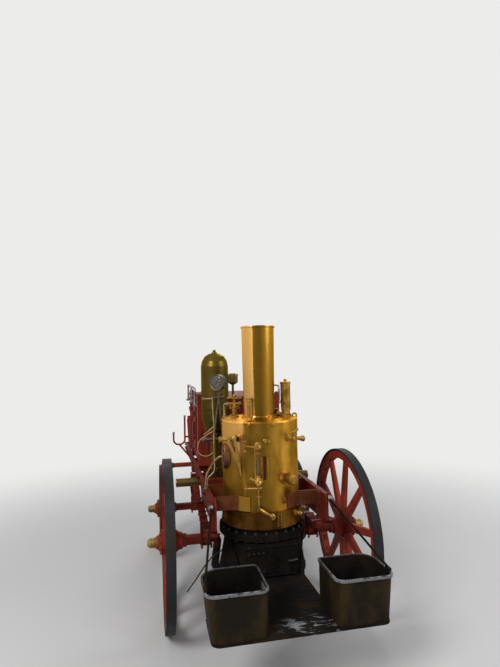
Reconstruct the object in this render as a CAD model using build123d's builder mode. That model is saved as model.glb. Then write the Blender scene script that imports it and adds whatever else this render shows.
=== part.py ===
from build123d import *

import os
from math import asin, atan2, cos, degrees, radians, sin

os.makedirs("parts", exist_ok=True)

# A small horse-drawn steam fire engine, in millimetres.
# X points to the right, Y forward and Z up. The ground is at Z = 0, and the
# origin is under the middle of the engine's length and width.

# Clearances
seat_gap = 0.3
pin_gap = 0.05
end_play = 2.0
swing_gap = 5.0

# Running gear
rear_wheel_d = 1066.0
front_wheel_d = 774.0
track = 1250.0
wheelbase = 1270.0
tyre_w = 58.0
tyre_t = 14.0
felloe_w = 50.0
felloe_t = 50.0
spoke_count = 10
spoke_first_angle = 25.0
spoke_w_nave = 62.0
spoke_w_felloe = 46.0
spoke_t_nave = 36.0
spoke_t_felloe = 28.0
spoke_corner = 9.0
spoke_root = 12.0
spoke_tip = 6.0
nave_d = 148.0
nave_neck_d = 104.0
nave_inner = 95.0
nave_outer = 72.0
dish = 16.0
arm_d = 54.0
cap_d = 60.0
cap_collar_d = 88.0
cap_length = 62.0
cap_wall = 7.0
arm_play = 4.0
beam = 52.0
collar_d = 86.0
collar_t = 24.0

# Reach in front of and behind the rear axle
bunker_back = 990.0
dash_front = 2255.0
rear_axle_y = (bunker_back - dash_front) / 2
front_axle_y = rear_axle_y + wheelbase
rear_axle_z = rear_wheel_d / 2
front_axle_z = front_wheel_d / 2

# Frame side plates
rail_x = 352.0
rail_t = 12.0
rail_top = 865.0
rail_bottom = 690.0
rail_bar_bottom = 815.0
rail_back_y = rear_axle_y - 376.0
rail_deep_y = rear_axle_y + 400.0
rail_slope = 120.0
rail_front_y = rear_axle_y + 1990.0
rail_inside = rail_x - rail_t / 2
rail_outside = rail_x + rail_t / 2
cross_t = 40.0
rail_corner = 20.0

# Springs
rear_spring_x = 372.0
leaf_t = 8.0
leaf_w = 50.0
rear_leaves = 6
rear_spring_half = 320.0
front_leaves = 4
front_spring_half = 300.0
front_spring_x = 330.0
spring_pad = 5.0
eye_r = 17.0
eye_pin_r = 8.0
leaf_shrink = 0.82
spring_seat_half = 40.0
ear_t = 8.0
ear_plate_t = 8.0
ear_play = 1.0
pin_end = 6.0

# The rear axle drops and runs forward round the firebox
crank_x = 292.0
crank_drop = 283.0
crank_reach = 200.0
crank_bend = 46.0
crank_r = 27.0

# Boiler and chimney
boiler_y = rear_axle_y - 60.0
boiler_r = 256.0
belt_r = 266.0
belt_h = 105.0
boiler_bottom = 660.0
boiler_top = 1326.0
crown_round = 10.0
chimney_foot_r = 104.0
chimney_top_r = 113.0
chimney_wall = 4.0
chimney_top = 1955.0
chimney_flange_r = 122.0
chimney_flange_t = 12.0

# Saddles: bent plates that wrap the shell and bolt to the side plates
saddle_t = 10.0
saddle_low = boiler_bottom + belt_h + 6.0
saddle_h = 88.0
saddle_start = 62.0
saddle_leave = 38.0
saddle_foot = 60.0

# Firebox
skirt_r = 285.0
skirt_low = 592.0
skirt_high = 632.0
casing_top_r = 245.0
casing_r = 290.0
casing_wall = 12.0
casing_bottom = 352.0
grate_z = 372.0
grate_t = 12.0
grate_ledge = 14.0
grate_bar = 12.0
grate_pitch = 26.0
mouth_w = 320.0
mouth_h = 190.0
mouth_z = 485.0
mouth_wall = 24.0
mouth_corner = 30.0
mouth_face_y = boiler_y - 290.0
door_t = 12.0
door_margin = 4.0
hinge_lift = 55.0
knuckle_r = 9.0
knuckle_h = 28.0
lug_h = 12.0
hinge_pin_r = 5.0
ash_pan_depth = 60.0
ash_pan_wall = 5.0

# Footplate and bunkers
footplate_t = 10.0
footplate_top = 385.0
footplate_front_y = rear_axle_y - 300.0
footplate_neck = 200.0
footplate_corner = 20.0
bunker_inside = 176.0
bunker_outside = 482.0
bunker_length = 302.0
bunker_h = 225.0
bunker_lean = 22.0
bunker_wall = 4.0
bunker_near_corner = 46.0
bunker_far_corner = 100.0
bunker_small_corner = 24.0
rim_w = 6.0
rim_h = 12.0
strap_t = 8.0
stay_r = 6.5
stay_top_z = 835.0
stay_inset = 18.0
stay_pin_r = 9.0
stay_pin_length = 34.0
stay_reach = 66.0
stay_tab_in = 10.0
stay_tab_half = 20.0
hanger_x = 250.0
hanger_back = 120.0
hanger_inset = 14.0
hanger_foot_r = 13.0
hanger_foot_h = 14.0

# Pump and engine
engine_y = rear_axle_y + 412.0
cylinder_x = 100.0
bed_z = rail_bar_bottom
bed_t = 16.0
barrel_r = 68.0
barrel_bottom = 520.0
delivery_y = rear_axle_y + 573.0
suction_y = rear_axle_y + 610.0
delivery_z = 772.0
delivery_r = 32.0
delivery_bore_r = 24.0
delivery_bore_depth = 90.0
delivery_reach = 540.0
suction_z = 632.0
suction_r = 46.0
suction_bore_r = 36.0
suction_reach = 500.0
suction_boss_r = 60.0
suction_flange_x = 246.0
delivery_flange_x = 312.0
vessel_neck_r = 40.0
chest_bottom = 560.0
chest_half = 200.0
flange_t = 14.0
flange_lip = 14.0
steam_bottom = 1070.0
steam_top = 1300.0
steam_r = 82.0
column_r = 14.0
piston_r = 15.0
rod_travel = 75.0
gland_rise = 30.0
gland_hold = 30.0
crosshead_half = 16.0
oil_cup_low = 1548.0
oil_cup_top = 1624.0
oil_cup_r = 40.0
vessel_x = -221.0
vessel_r = 110.0
vessel_bottom = 1165.0
vessel_top = 1790.0
vessel_ring_low = 1341.0
vessel_ring_high = 1431.0

# Boiler fittings: angles go round the shell from the rear, positive to the right
safety_x = 190.0
safety_r = 34.0
safety_top = 1587.0
stop_x = -153.0
stop_y = boiler_y + 110.0
stop_arm = 46.0
stop_arm_z = 1420.0
hand_wheel_z = 1460.0
hand_wheel_r = 48.0
hand_wheel_rim = 5.5
test_pipe_x = -92.0
test_pipe_ahead = -100.0
test_pipe_top = 1468.0
gauge_angle = -15.5
gauge_low = 962.0
gauge_high = 1178.0
gauge_out = 45.0
gauge_cock_r = 21.0
sleeve_h = 40.0
glass_r = 8.0
drain_low = 800.0
tee_angle = 1.8
tee_low = 740.0
tee_r = 14.0
left_valve_angle = -46.0
left_valve_z = 1225.0
left_barrel = 78.0
left_lever = 228.0
right_valve_angle = 33.6
right_valve_z = 1215.0
union_angle = 23.5
union_z = 968.0
union_hex_r = 40.0
union_hex_t = 32.0
union_cap_r = 33.0
union_reach = 94.0
right_cone = 92.0
belt_valve_angle = 43.0
belt_valve_z = 735.0
rim_pipe_r = 6.0
rim_pipe_low = 1234.0
plate_back = 66.0
plate_z = 1097.0
plate_half_y = 62.0
plate_half_z = 83.0
plate_reach = 6.0
plate_deep = 30.0
plate_rib = 6.0
plate_rib_pitch = 34.0

# Pressure gauge and steam pipe
dial_x = -230.0
dial_y = rear_axle_y + 300.0
dial_z = 1562.0
dial_r = 57.0
dial_turn = 40.0
dial_cock_z = 1450.0
exhaust_z = 1140.0
exhaust_r = 12.5
exhaust_end_x = -350.0
siphon_feet_x = (-270.0, -200.0)
steam_pipe_z = 1180.0
steam_pipe_r = 18.0
chest_link_half = 40.0

# Turntable and fore carriage
ring_r = 250.0
ring_w = 95.0
ring_t = 15.0
upper_ring_z = 690.0
bolster_t = 90.0
king_pin_r = 22.0
pole_arm_x = 110.0
pole_arm_w = 40.0
pole_arm_front = 830.0
splinter_half = 520.0

# Body
body_half = 330.0
body_back_y = rear_axle_y + 700.0
body_front_y = rear_axle_y + 1520.0
body_wall = 20.0
body_floor = 20.0
body_top = 1400.0
post_w = 36.0
post_top = 1440.0
lid_t = 24.0
lid_overhang = 8.0
lid_knuckle = 40.0
seat_front_y = rear_axle_y + 1900.0
seat_top = 1250.0
seat_plank_t = 28.0
cushion_h = 68.0
cushion_half = body_half - 45
cushion_gap = 44.0
cushion_front = 20.0
cushion_corner = 35.0
cushion_round = 26.0
seat_rail_r = 7.5
seat_rail_rise = 102.0
seat_rail_half = body_half - 20
seat_rail_gap = 22.0
seat_rail_front = 50.0
seat_rail_post_x = 210.0
board_t = 22.0
board_bead_r = 16.0
dash_top = 1100.0
hand_rail_x = body_half + 36.0
hand_rail_z = 1500.0
hand_rail_r = 9.0
crutch_y = rear_axle_y + 1100.0
crutch_r = 8.0
crutch_inner_x = body_half + 100.0
crutch_outer_x = crutch_inner_x + 100.0
crutch_low_z = 985.0


def keep(piece, name):
    """Label a finished piece and write its file."""
    piece.part.label = name
    export_step(piece.part, f"parts/{name}.step")


def turned(plane, *profile):
    """A turned piece: (radius, height) corners about the plane's own axis."""
    section = Plane(origin=plane.origin, x_dir=plane.x_dir, z_dir=-plane.y_dir)
    with BuildPart() as piece:
        with BuildSketch(section):
            with BuildLine():
                Polyline(*profile, close=True)
            make_face()
        revolve(axis=Axis(plane.origin, plane.z_dir))
    return piece.part


def rod(start, end, radius):
    """A round bar from one point to another."""
    start, end = Vector(*start), Vector(*end)
    span = end - start
    with BuildPart() as piece:
        with BuildSketch(Plane(origin=start, z_dir=span)):
            Circle(radius)
        extrude(amount=span.length)
    return piece.part


def bent_rod(points, bend, radius, bore=0.0):
    """A round bar or tube along straight runs joined by bends."""
    with BuildPart() as piece:
        with BuildLine() as route:
            FilletPolyline(*points, radius=bend)
        with BuildSketch(Plane(origin=route.line @ 0, z_dir=route.line % 0)):
            Circle(radius)
            if bore:
                Circle(bore, mode=Mode.SUBTRACT)
        sweep()
    return piece.part


def tapered(start, end, start_r, end_r):
    """A round bar whose radius changes from one end to the other."""
    start, end = Vector(*start), Vector(*end)
    length = (end - start).length
    return turned(Plane(origin=start, z_dir=end - start),
                  (0, 0), (start_r, 0), (end_r, length), (0, length))


def block(corner, opposite):
    """A rectangular block between two opposite corners."""
    corner, opposite = Vector(*corner), Vector(*opposite)
    span = opposite - corner
    with BuildPart() as piece:
        with Locations((corner + opposite) / 2):
            Box(abs(span.X), abs(span.Y), abs(span.Z))
    return piece.part


def cornered(z, corners):
    """A level outline from (x, y, corner radius) rows."""
    with BuildSketch(Plane.XY.offset(z)) as outline:
        with BuildLine():
            Polyline(*[(x, y) for x, y, corner_r in corners], close=True)
        make_face()
        for x, y, corner_r in corners:
            nearest = outline.vertices().sort_by_distance((x, y, 0))
            fillet(nearest[0], corner_r)
    return outline.sketch


def upright(x, y, z):
    """A plane whose axis stands up from a point."""
    return Plane(origin=(x, y, z), x_dir=(1, 0, 0), z_dir=(0, 0, 1))


def on_boiler(angle, z, radius=boiler_r):
    """A plane on the boiler: X along the shell, Y up, Z outwards. Angle 0 faces the rear."""
    turn = radians(angle)
    out = Vector(sin(turn), -cos(turn), 0)
    origin = Vector(0, boiler_y, z) + out * (radius + seat_gap)
    return Plane(origin=origin, x_dir=(cos(turn), sin(turn), 0), z_dir=out)


# Wheels: naves, spokes and felloes of wood, with an iron tyre and a brass cap

def make_wheel(side, axle_y, diameter):
    """The wooden wheel, its tyre and its hub cap."""
    radius = diameter / 2
    centre = Vector(side * track / 2, axle_y, radius)
    outward = Vector(side, 0, 0)
    disc = Plane(origin=centre, x_dir=(0, 1, 0), z_dir=outward)
    felloe_outer = radius - tyre_t - seat_gap
    felloe_inner = felloe_outer - felloe_t
    nave_r = nave_d / 2
    neck_r = nave_neck_d / 2
    bore_r = arm_d / 2 + pin_gap

    with BuildPart() as wheel:
        add(turned(disc, (bore_r, -nave_inner), (neck_r, -nave_inner),
                   (neck_r + 4, -nave_inner + 22), (nave_r, -nave_inner + 44),
                   (nave_r, nave_outer - 34), (neck_r, nave_outer - 18),
                   (cap_collar_d / 2, nave_outer - 16), (cap_collar_d / 2, nave_outer),
                   (bore_r, nave_outer)))
        for index in range(spoke_count):
            angle = radians(spoke_first_angle + index * 360 / spoke_count)
            along = Vector(0, cos(angle), sin(angle))
            root = centre + along * (nave_r - spoke_root) - outward * dish
            tip = centre + along * (felloe_inner + spoke_tip)
            with BuildSketch(Plane(origin=root, x_dir=outward, z_dir=along)):
                RectangleRounded(spoke_t_nave, spoke_w_nave, spoke_corner)
            with BuildSketch(Plane(origin=tip, x_dir=outward, z_dir=along)):
                RectangleRounded(spoke_t_felloe, spoke_w_felloe, spoke_corner)
            loft()
        with BuildSketch(disc.offset(-felloe_w / 2)):
            Circle(felloe_outer)
            Circle(felloe_inner, mode=Mode.SUBTRACT)
        extrude(amount=felloe_w)

    with BuildPart() as tyre:
        with BuildSketch(disc.offset(-tyre_w / 2)):
            Circle(radius)
            Circle(radius - tyre_t, mode=Mode.SUBTRACT)
        extrude(amount=tyre_w)

    cap_r = cap_d / 2
    cap_bore = cap_r - cap_wall
    cap_end = nave_outer + cap_length
    with BuildPart() as cap:
        add(turned(disc, (cap_bore, nave_outer), (cap_r + 8, nave_outer),
                   (cap_r + 8, nave_outer + 8), (cap_r, nave_outer + 12),
                   (cap_r, cap_end - 16), (cap_r - 8, cap_end - 4), (cap_r - 14, cap_end),
                   (0, cap_end), (0, cap_end - cap_wall), (cap_bore, cap_end - cap_wall)))
    return wheel, tyre, cap


def add_axle_arms(axle_y, axle_z):
    """Both arms with their collars, as one part each side."""
    arm_r = arm_d / 2
    stub_r = cap_d / 2 - cap_wall - arm_play
    collar_face = track / 2 - nave_inner - end_play
    arm_end = track / 2 + nave_outer - arm_play
    stub_end = track / 2 + nave_outer + cap_length - cap_wall - arm_play
    arms = []
    for side in (-1, 1):
        base = Plane(origin=(0, axle_y, axle_z), x_dir=(0, 1, 0), z_dir=(side, 0, 0))
        inner = collar_face - collar_t - 30
        arms.append(turned(base, (0, inner), (arm_r, inner), (arm_r, collar_face - collar_t),
                           (collar_d / 2, collar_face - collar_t), (collar_d / 2, collar_face),
                           (arm_r, collar_face), (arm_r, arm_end), (stub_r, arm_end),
                           (stub_r, stub_end), (0, stub_end)))
    return arms


wheel_places = [
    # name, side, axle_y, diameter
    ("rear_wheel_left", -1, rear_axle_y, rear_wheel_d),
    ("rear_wheel_right", 1, rear_axle_y, rear_wheel_d),
    ("front_wheel_left", -1, front_axle_y, front_wheel_d),
    ("front_wheel_right", 1, front_axle_y, front_wheel_d),
]
for name, side, axle_y, diameter in wheel_places:
    wheel, tyre, cap = make_wheel(side, axle_y, diameter)
    keep(wheel, name)
    keep(tyre, name.replace("wheel", "tyre"))
    keep(cap, name.replace("wheel", "hub_cap"))


# Axles

beam_end = track / 2 - nave_inner - end_play - collar_t

crank_y = rear_axle_y + crank_reach
crank_z = rear_axle_z - crank_drop
square_end = crank_x + crank_bend
with BuildPart() as rear_axle:
    add(bent_rod([(-square_end - beam / 2, rear_axle_y, rear_axle_z), (-crank_x, rear_axle_y, rear_axle_z),
                  (-crank_x, crank_y, crank_z), (crank_x, crank_y, crank_z),
                  (crank_x, rear_axle_y, rear_axle_z), (square_end + beam / 2, rear_axle_y, rear_axle_z)],
                 crank_bend, crank_r))
    for side in (-1, 1):
        add(block((side * square_end, rear_axle_y - beam / 2, rear_axle_z - beam / 2),
                  (side * beam_end, rear_axle_y + beam / 2, rear_axle_z + beam / 2)))
        add(block((side * rear_spring_x - leaf_w / 2, rear_axle_y - spring_seat_half, rear_axle_z + beam / 2),
                  (side * rear_spring_x + leaf_w / 2, rear_axle_y + spring_seat_half,
                   rear_axle_z + beam / 2 + spring_pad)))
    for arm in add_axle_arms(rear_axle_y, rear_axle_z):
        add(arm)
keep(rear_axle, "rear_axle")

with BuildPart() as front_axle:
    add(block((-beam_end, front_axle_y - beam / 2, front_axle_z - beam / 2),
              (beam_end, front_axle_y + beam / 2, front_axle_z + beam / 2)))
    for arm in add_axle_arms(front_axle_y, front_axle_z):
        add(arm)
    for side in (-1, 1):
        add(block((side * front_spring_x - leaf_w / 2, front_axle_y - spring_seat_half,
                   front_axle_z + beam / 2),
                  (side * front_spring_x + leaf_w / 2, front_axle_y + spring_seat_half,
                   front_axle_z + beam / 2 + spring_pad)))
keep(front_axle, "front_axle")


# Springs: curved leaves, the longest with an eye at each end

def leaf_pack(x, centre_y, root_z, eye_z, half_length, leaves):
    """Leaves stacked outwards from the master leaf, whose eyes lie at eye_z."""
    camber = abs(eye_z - root_z)
    ends_up = eye_z > root_z
    arc_r = (half_length ** 2 + camber ** 2) / (2 * camber)
    arc_z = root_z + arc_r if ends_up else root_z - arc_r
    facing = 270 if ends_up else 90
    with BuildPart() as pack:
        with BuildSketch(Plane.YZ.offset(x - leaf_w / 2)):
            for index in range(leaves):
                middle_r = arc_r + index * leaf_t
                reach = half_length * (1 - leaf_shrink * index / leaves)
                spread = degrees(asin(reach / middle_r))
                with BuildLine():
                    outer = CenterArc((centre_y, arc_z), middle_r + leaf_t / 2, facing - spread, 2 * spread)
                    inner = CenterArc((centre_y, arc_z), middle_r - leaf_t / 2, facing - spread, 2 * spread)
                    Line(outer @ 0, inner @ 0)
                    Line(outer @ 1, inner @ 1)
                make_face()
            with Locations((centre_y - half_length, eye_z), (centre_y + half_length, eye_z)):
                Circle(eye_r)
            with Locations((centre_y - half_length, eye_z), (centre_y + half_length, eye_z)):
                Circle(eye_pin_r + pin_gap, mode=Mode.SUBTRACT)
        extrude(amount=leaf_w)
    return pack.part


rear_seat_z = rear_axle_z + beam / 2 + spring_pad
rear_root_z = rear_seat_z + seat_gap + (rear_leaves - 0.5) * leaf_t
rear_eye_z = rail_bottom - ear_plate_t - eye_r - swing_gap
with BuildPart() as rear_springs:
    for side in (-1, 1):
        add(leaf_pack(side * rear_spring_x, rear_axle_y, rear_root_z, rear_eye_z,
                      rear_spring_half, rear_leaves))
keep(rear_springs, "rear_springs")

# Each eye hangs between two ears under the side plate
with BuildPart() as spring_hangers:
    for side in (-1, 1):
        for end in (-1, 1):
            eye_y = rear_axle_y + end * rear_spring_half
            x = side * rear_spring_x
            half = leaf_w / 2 + ear_play
            add(block((x - half - ear_t, eye_y - eye_r, rail_bottom - ear_plate_t),
                      (x + half + ear_t, eye_y + eye_r, rail_bottom)))
            for ear_side in (-1, 1):
                ear_x = x + ear_side * (half + ear_t / 2)
                with BuildSketch(Plane.YZ.offset(ear_x - ear_t / 2)):
                    with Locations((eye_y, rear_eye_z)):
                        Circle(eye_r)
                    with Locations((eye_y, (rear_eye_z + rail_bottom) / 2)):
                        Rectangle(2 * eye_r, rail_bottom - rear_eye_z)
                extrude(amount=ear_t)
            add(rod((x - half - ear_t - pin_end, eye_y, rear_eye_z),
                    (x + half + ear_t + pin_end, eye_y, rear_eye_z), eye_pin_r))
keep(spring_hangers, "spring_hangers")

front_seat_z = front_axle_z + beam / 2 + spring_pad
lower_bolster_z = 632.0
front_root_low = front_seat_z + seat_gap + (front_leaves - 0.5) * leaf_t
front_root_high = lower_bolster_z - seat_gap - (front_leaves - 0.5) * leaf_t
front_eye_z = (front_root_low + front_root_high) / 2
with BuildPart() as front_springs:
    for side in (-1, 1):
        x = side * front_spring_x
        for root in (front_root_low, front_root_high):
            add(leaf_pack(x, front_axle_y, root, front_eye_z, front_spring_half, front_leaves))
        for end in (-1, 1):
            eye_y = front_axle_y + end * front_spring_half
            add(rod((x - leaf_w / 2 - 8, eye_y, front_eye_z),
                    (x + leaf_w / 2 + 8, eye_y, front_eye_z), eye_pin_r + pin_gap))
keep(front_springs, "front_springs")


# Frame

with BuildPart() as frame_sides:
    for side in (-1, 1):
        with BuildSketch(Plane.YZ.offset(side * rail_x - rail_t / 2)) as outline:
            with BuildLine():
                Polyline(
                    (rail_back_y, rail_bottom),
                    (rail_deep_y, rail_bottom),
                    (rail_deep_y + rail_slope, rail_bar_bottom),
                    (rail_front_y, rail_bar_bottom),
                    (rail_front_y, rail_top),
                    (rail_back_y, rail_top),
                    close=True,
                )
            make_face()
            fillet(outline.vertices(), rail_corner)
        extrude(amount=rail_t)
keep(frame_sides, "frame_sides")

cross_places = [
    # distance in front of the rear axle, bottom
    (235.0, rail_bar_bottom),
    (760.0, rail_bar_bottom),
    (1440.0, rail_bar_bottom),
    (1800.0, rail_bar_bottom),
    (1960.0, rail_bar_bottom),
]
with BuildPart() as frame_cross_members:
    for ahead, low in cross_places:
        y = rear_axle_y + ahead
        add(block((-rail_inside, y - cross_t / 2, low), (rail_inside, y + cross_t / 2, rail_top)))
keep(frame_cross_members, "frame_cross_members")


# Boiler

with BuildPart() as boiler_shell:
    crown = boiler_top - crown_round
    add(turned(upright(0, boiler_y, 0), (0, boiler_bottom), (belt_r, boiler_bottom),
               (belt_r, boiler_bottom + belt_h), (boiler_r, boiler_bottom + belt_h + 3),
               (boiler_r, crown), (boiler_r - crown_round / 3, boiler_top - crown_round / 3),
               (boiler_r - crown_round, boiler_top), (0, boiler_top)))
keep(boiler_shell, "boiler_shell")

with BuildPart() as chimney:
    tube_wall = chimney_wall
    add(turned(upright(0, boiler_y, 0),
               (chimney_foot_r - tube_wall, boiler_top), (chimney_flange_r, boiler_top),
               (chimney_flange_r, boiler_top + chimney_flange_t),
               (chimney_foot_r, boiler_top + chimney_flange_t),
               (chimney_top_r, chimney_top - 10), (chimney_top_r + 3, chimney_top - 8),
               (chimney_top_r + 3, chimney_top), (chimney_top_r - tube_wall, chimney_top)))
keep(chimney, "chimney")

saddle_mid_r = boiler_r + seat_gap + saddle_t / 2
with BuildPart() as boiler_saddles:
    for side in (-1, 1):
        for end in (-1, 1):
            with BuildSketch(Plane.XY.offset(saddle_low)):
                with BuildLine():
                    begin = radians(saddle_start)
                    first = degrees(atan2(end * sin(begin), side * cos(begin)))
                    turn = -side * end * (saddle_start - saddle_leave)
                    wrap = CenterArc((0, boiler_y), saddle_mid_r, first, turn)
                    meet = wrap @ 1
                    foot_x = side * (rail_inside - saddle_t / 2)
                    Line(meet, (foot_x, meet.Y))
                    Line((foot_x, meet.Y), (foot_x, meet.Y + end * saddle_foot))
                trace(line_width=saddle_t)
            extrude(amount=saddle_h)
keep(boiler_saddles, "boiler_saddles")


# Firebox

# The fire door hangs at its left edge and opens to the rear
door_y = mouth_face_y - seat_gap - door_t
hinge_y = door_y + door_t / 2
door_hinge_x = -mouth_w / 2 - knuckle_r - 1
firebox_r = casing_top_r - casing_wall
with BuildPart() as firebox_casing:
    add(turned(upright(0, boiler_y, 0), (0, casing_bottom), (casing_r, casing_bottom),
               (casing_top_r, skirt_low), (skirt_r, skirt_low), (skirt_r, skirt_high),
               (casing_top_r, skirt_high), (casing_top_r, boiler_bottom), (0, boiler_bottom)))
    add(block((-mouth_w / 2, mouth_face_y, mouth_z - mouth_h / 2),
              (mouth_w / 2, boiler_y, mouth_z + mouth_h / 2)))
    with BuildSketch(Plane.XY.offset(casing_bottom)):
        with Locations((0, boiler_y)):
            Circle(firebox_r - grate_ledge)
    extrude(amount=boiler_bottom - casing_bottom, mode=Mode.SUBTRACT)
    with BuildSketch(Plane.XY.offset(grate_z)):
        with Locations((0, boiler_y)):
            Circle(firebox_r)
    extrude(amount=boiler_bottom - grate_z, mode=Mode.SUBTRACT)
    with BuildSketch(Plane.XZ.offset(-mouth_face_y)):
        with Locations((0, mouth_z)):
            RectangleRounded(mouth_w - 2 * mouth_wall, mouth_h - 2 * mouth_wall, mouth_corner)
    extrude(amount=mouth_face_y - boiler_y, mode=Mode.SUBTRACT)
    # Hinge lugs and pins on the left of the mouth
    for lift in (-hinge_lift, hinge_lift):
        for end in (-1, 1):
            mid = mouth_z + lift + end * (knuckle_h / 2 + 1 + lug_h / 2)
            with Locations((door_hinge_x, hinge_y, mid)):
                Cylinder(knuckle_r, lug_h)
            add(block((door_hinge_x, hinge_y - 5, mid - lug_h / 2),
                      (-mouth_w / 2 + 1, mouth_face_y + 40, mid + lug_h / 2)))
        add(rod((door_hinge_x, hinge_y, mouth_z + lift - knuckle_h / 2 - lug_h),
                (door_hinge_x, hinge_y, mouth_z + lift + knuckle_h / 2 + lug_h), hinge_pin_r))
keep(firebox_casing, "firebox_casing")

with BuildPart() as fire_grate:
    grate_r = firebox_r - 1
    with BuildSketch(Plane.XY.offset(grate_z)):
        with Locations((0, boiler_y)):
            Circle(grate_r)
            Circle(grate_r - 16, mode=Mode.SUBTRACT)
        bar_count = int(2 * grate_r / grate_pitch)
        for index in range(bar_count):
            bar_x = (index - (bar_count - 1) / 2) * grate_pitch
            bar_half = (grate_r ** 2 - (abs(bar_x) + grate_bar) ** 2) ** 0.5 - 4
            with Locations((bar_x, boiler_y)):
                Rectangle(grate_bar, 2 * bar_half)
    extrude(amount=grate_t)
keep(fire_grate, "fire_grate")

with BuildPart() as ash_pan:
    pan_r = casing_r - 8
    pan_low = casing_bottom - ash_pan_depth
    add(turned(upright(0, boiler_y, 0), (0, pan_low), (pan_r, pan_low),
               (pan_r, casing_bottom - 6), (casing_r, casing_bottom - 6),
               (casing_r, casing_bottom), (pan_r - ash_pan_wall, casing_bottom),
               (pan_r - ash_pan_wall, pan_low + ash_pan_wall), (0, pan_low + ash_pan_wall)))
keep(ash_pan, "ash_pan")

with BuildPart() as fire_door:
    with BuildSketch(Plane.XZ.offset(-door_y)):
        with Locations((0, mouth_z)):
            RectangleRounded(mouth_w - 2 * door_margin, mouth_h - 2 * door_margin, 18)
    extrude(amount=-door_t)
    for lift in (-hinge_lift, hinge_lift):
        add(block((door_hinge_x, door_y - strap_t / 2, mouth_z + lift - knuckle_h / 2),
                  (door_hinge_x + 130, door_y, mouth_z + lift + knuckle_h / 2)))
        add(block((door_hinge_x, door_y - strap_t / 2, mouth_z + lift - knuckle_h / 2),
                  (-mouth_w / 2 + door_margin + 4, door_y + 6, mouth_z + lift + knuckle_h / 2)))
        with Locations((door_hinge_x, hinge_y, mouth_z + lift)):
            Cylinder(knuckle_r, knuckle_h)
        with Locations((door_hinge_x, hinge_y, mouth_z + lift)):
            Cylinder(hinge_pin_r + pin_gap, knuckle_h, mode=Mode.SUBTRACT)
    add(rod((80, door_y + 1, mouth_z), (80, door_y - 34, mouth_z), 6))
    add(rod((80, door_y - 34, mouth_z - 30), (80, door_y - 34, mouth_z + 30), 7))
keep(fire_door, "fire_door")


# Footplate, hangers, bunkers and stays

rim_top = footplate_top + bunker_h
bunker_near_y = rear_axle_y - bunker_back + rim_w
bunker_far_y = bunker_near_y + bunker_length


def bunker_outline(side, z, outside, shrink):
    """One bunker's outline at a height, drawn in all round by shrink."""
    inner_x = side * (bunker_inside + shrink)
    outer_x = side * (outside - shrink)
    return cornered(z, [
        (inner_x, bunker_near_y + shrink, bunker_near_corner - shrink),
        (outer_x, bunker_near_y + shrink, bunker_near_corner - shrink),
        (outer_x, bunker_far_y - shrink, bunker_far_corner - shrink),
        (inner_x, bunker_far_y - shrink, bunker_small_corner - shrink),
    ])


foot_x = bunker_outside - bunker_lean
plate_near_y = rear_axle_y - bunker_back
plate_far_y = bunker_far_y
with BuildPart() as footplate:
    plate_outline = cornered(footplate_top - footplate_t, [
        (-foot_x, plate_near_y, bunker_near_corner),
        (foot_x, plate_near_y, bunker_near_corner),
        (foot_x, plate_far_y, bunker_far_corner),
        (footplate_neck, plate_far_y, footplate_corner),
        (footplate_neck, footplate_front_y, footplate_corner),
        (-footplate_neck, footplate_front_y, footplate_corner),
        (-footplate_neck, plate_far_y, footplate_corner),
        (-foot_x, plate_far_y, bunker_far_corner),
    ])
    extrude(to_extrude=plate_outline, amount=footplate_t)
    # The neck reaches round the flared foot of the firebox
    with Locations((0, boiler_y, footplate_top)):
        Cylinder(casing_r + swing_gap, 4 * footplate_t, mode=Mode.SUBTRACT)
keep(footplate, "footplate")

with BuildPart() as bunkers:
    for side in (-1, 1):
        loft(sections=[bunker_outline(side, footplate_top, foot_x, 0).face(),
                       bunker_outline(side, rim_top, bunker_outside, 0).face()])
        extrude(to_extrude=bunker_outline(side, rim_top - rim_h, bunker_outside, -rim_w), amount=rim_h)
        loft(sections=[bunker_outline(side, footplate_top + bunker_wall, foot_x, bunker_wall).face(),
                       bunker_outline(side, rim_top, bunker_outside, bunker_wall).face()],
             mode=Mode.SUBTRACT)
keep(bunkers, "bunkers")

# A stay runs from a pin on each side plate to the bunker's rim, and a thin
# hanger from the firebox flange to the footplate's neck
stay_y = rail_back_y + stay_inset
pin_x = rail_outside + seat_gap
with BuildPart() as footplate_stays:
    for side in (-1, 1):
        eye = (side * (pin_x + stay_pin_length / 2), stay_y, stay_top_z)
        low = (side * bunker_outside, bunker_near_y + stay_reach, rim_top + seat_gap + stay_r + 3)
        add(rod((side * pin_x, stay_y, stay_top_z), (side * (pin_x + stay_pin_length), stay_y, stay_top_z),
                stay_pin_r))
        add(rod(eye, low, stay_r))
        add(block((low[0] - side * stay_tab_in, low[1] - stay_tab_half, rim_top + seat_gap),
                  (low[0] + side * rim_w, low[1] + stay_tab_half, low[2] + stay_r - 2)))
        head = (side * hanger_x, boiler_y - hanger_back, skirt_low - seat_gap)
        foot = (side * (footplate_neck - hanger_inset), footplate_front_y - hanger_inset, footplate_top)
        add(rod((head[0], head[1], head[2] - 8), (foot[0], foot[1], foot[2] + hanger_foot_h), stay_r))
        add(turned(upright(*foot), (0, 0), (hanger_foot_r, 0), (hanger_foot_r, 6), (stay_r, hanger_foot_h + 8),
                   (0, hanger_foot_h + 8)))
        add(turned(upright(*head), (0, -16), (stay_r + 3, -16), (stay_r + 3, 0), (0, 0)))
keep(footplate_stays, "footplate_stays")


# Pump, steam cylinders and piston rods

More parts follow.
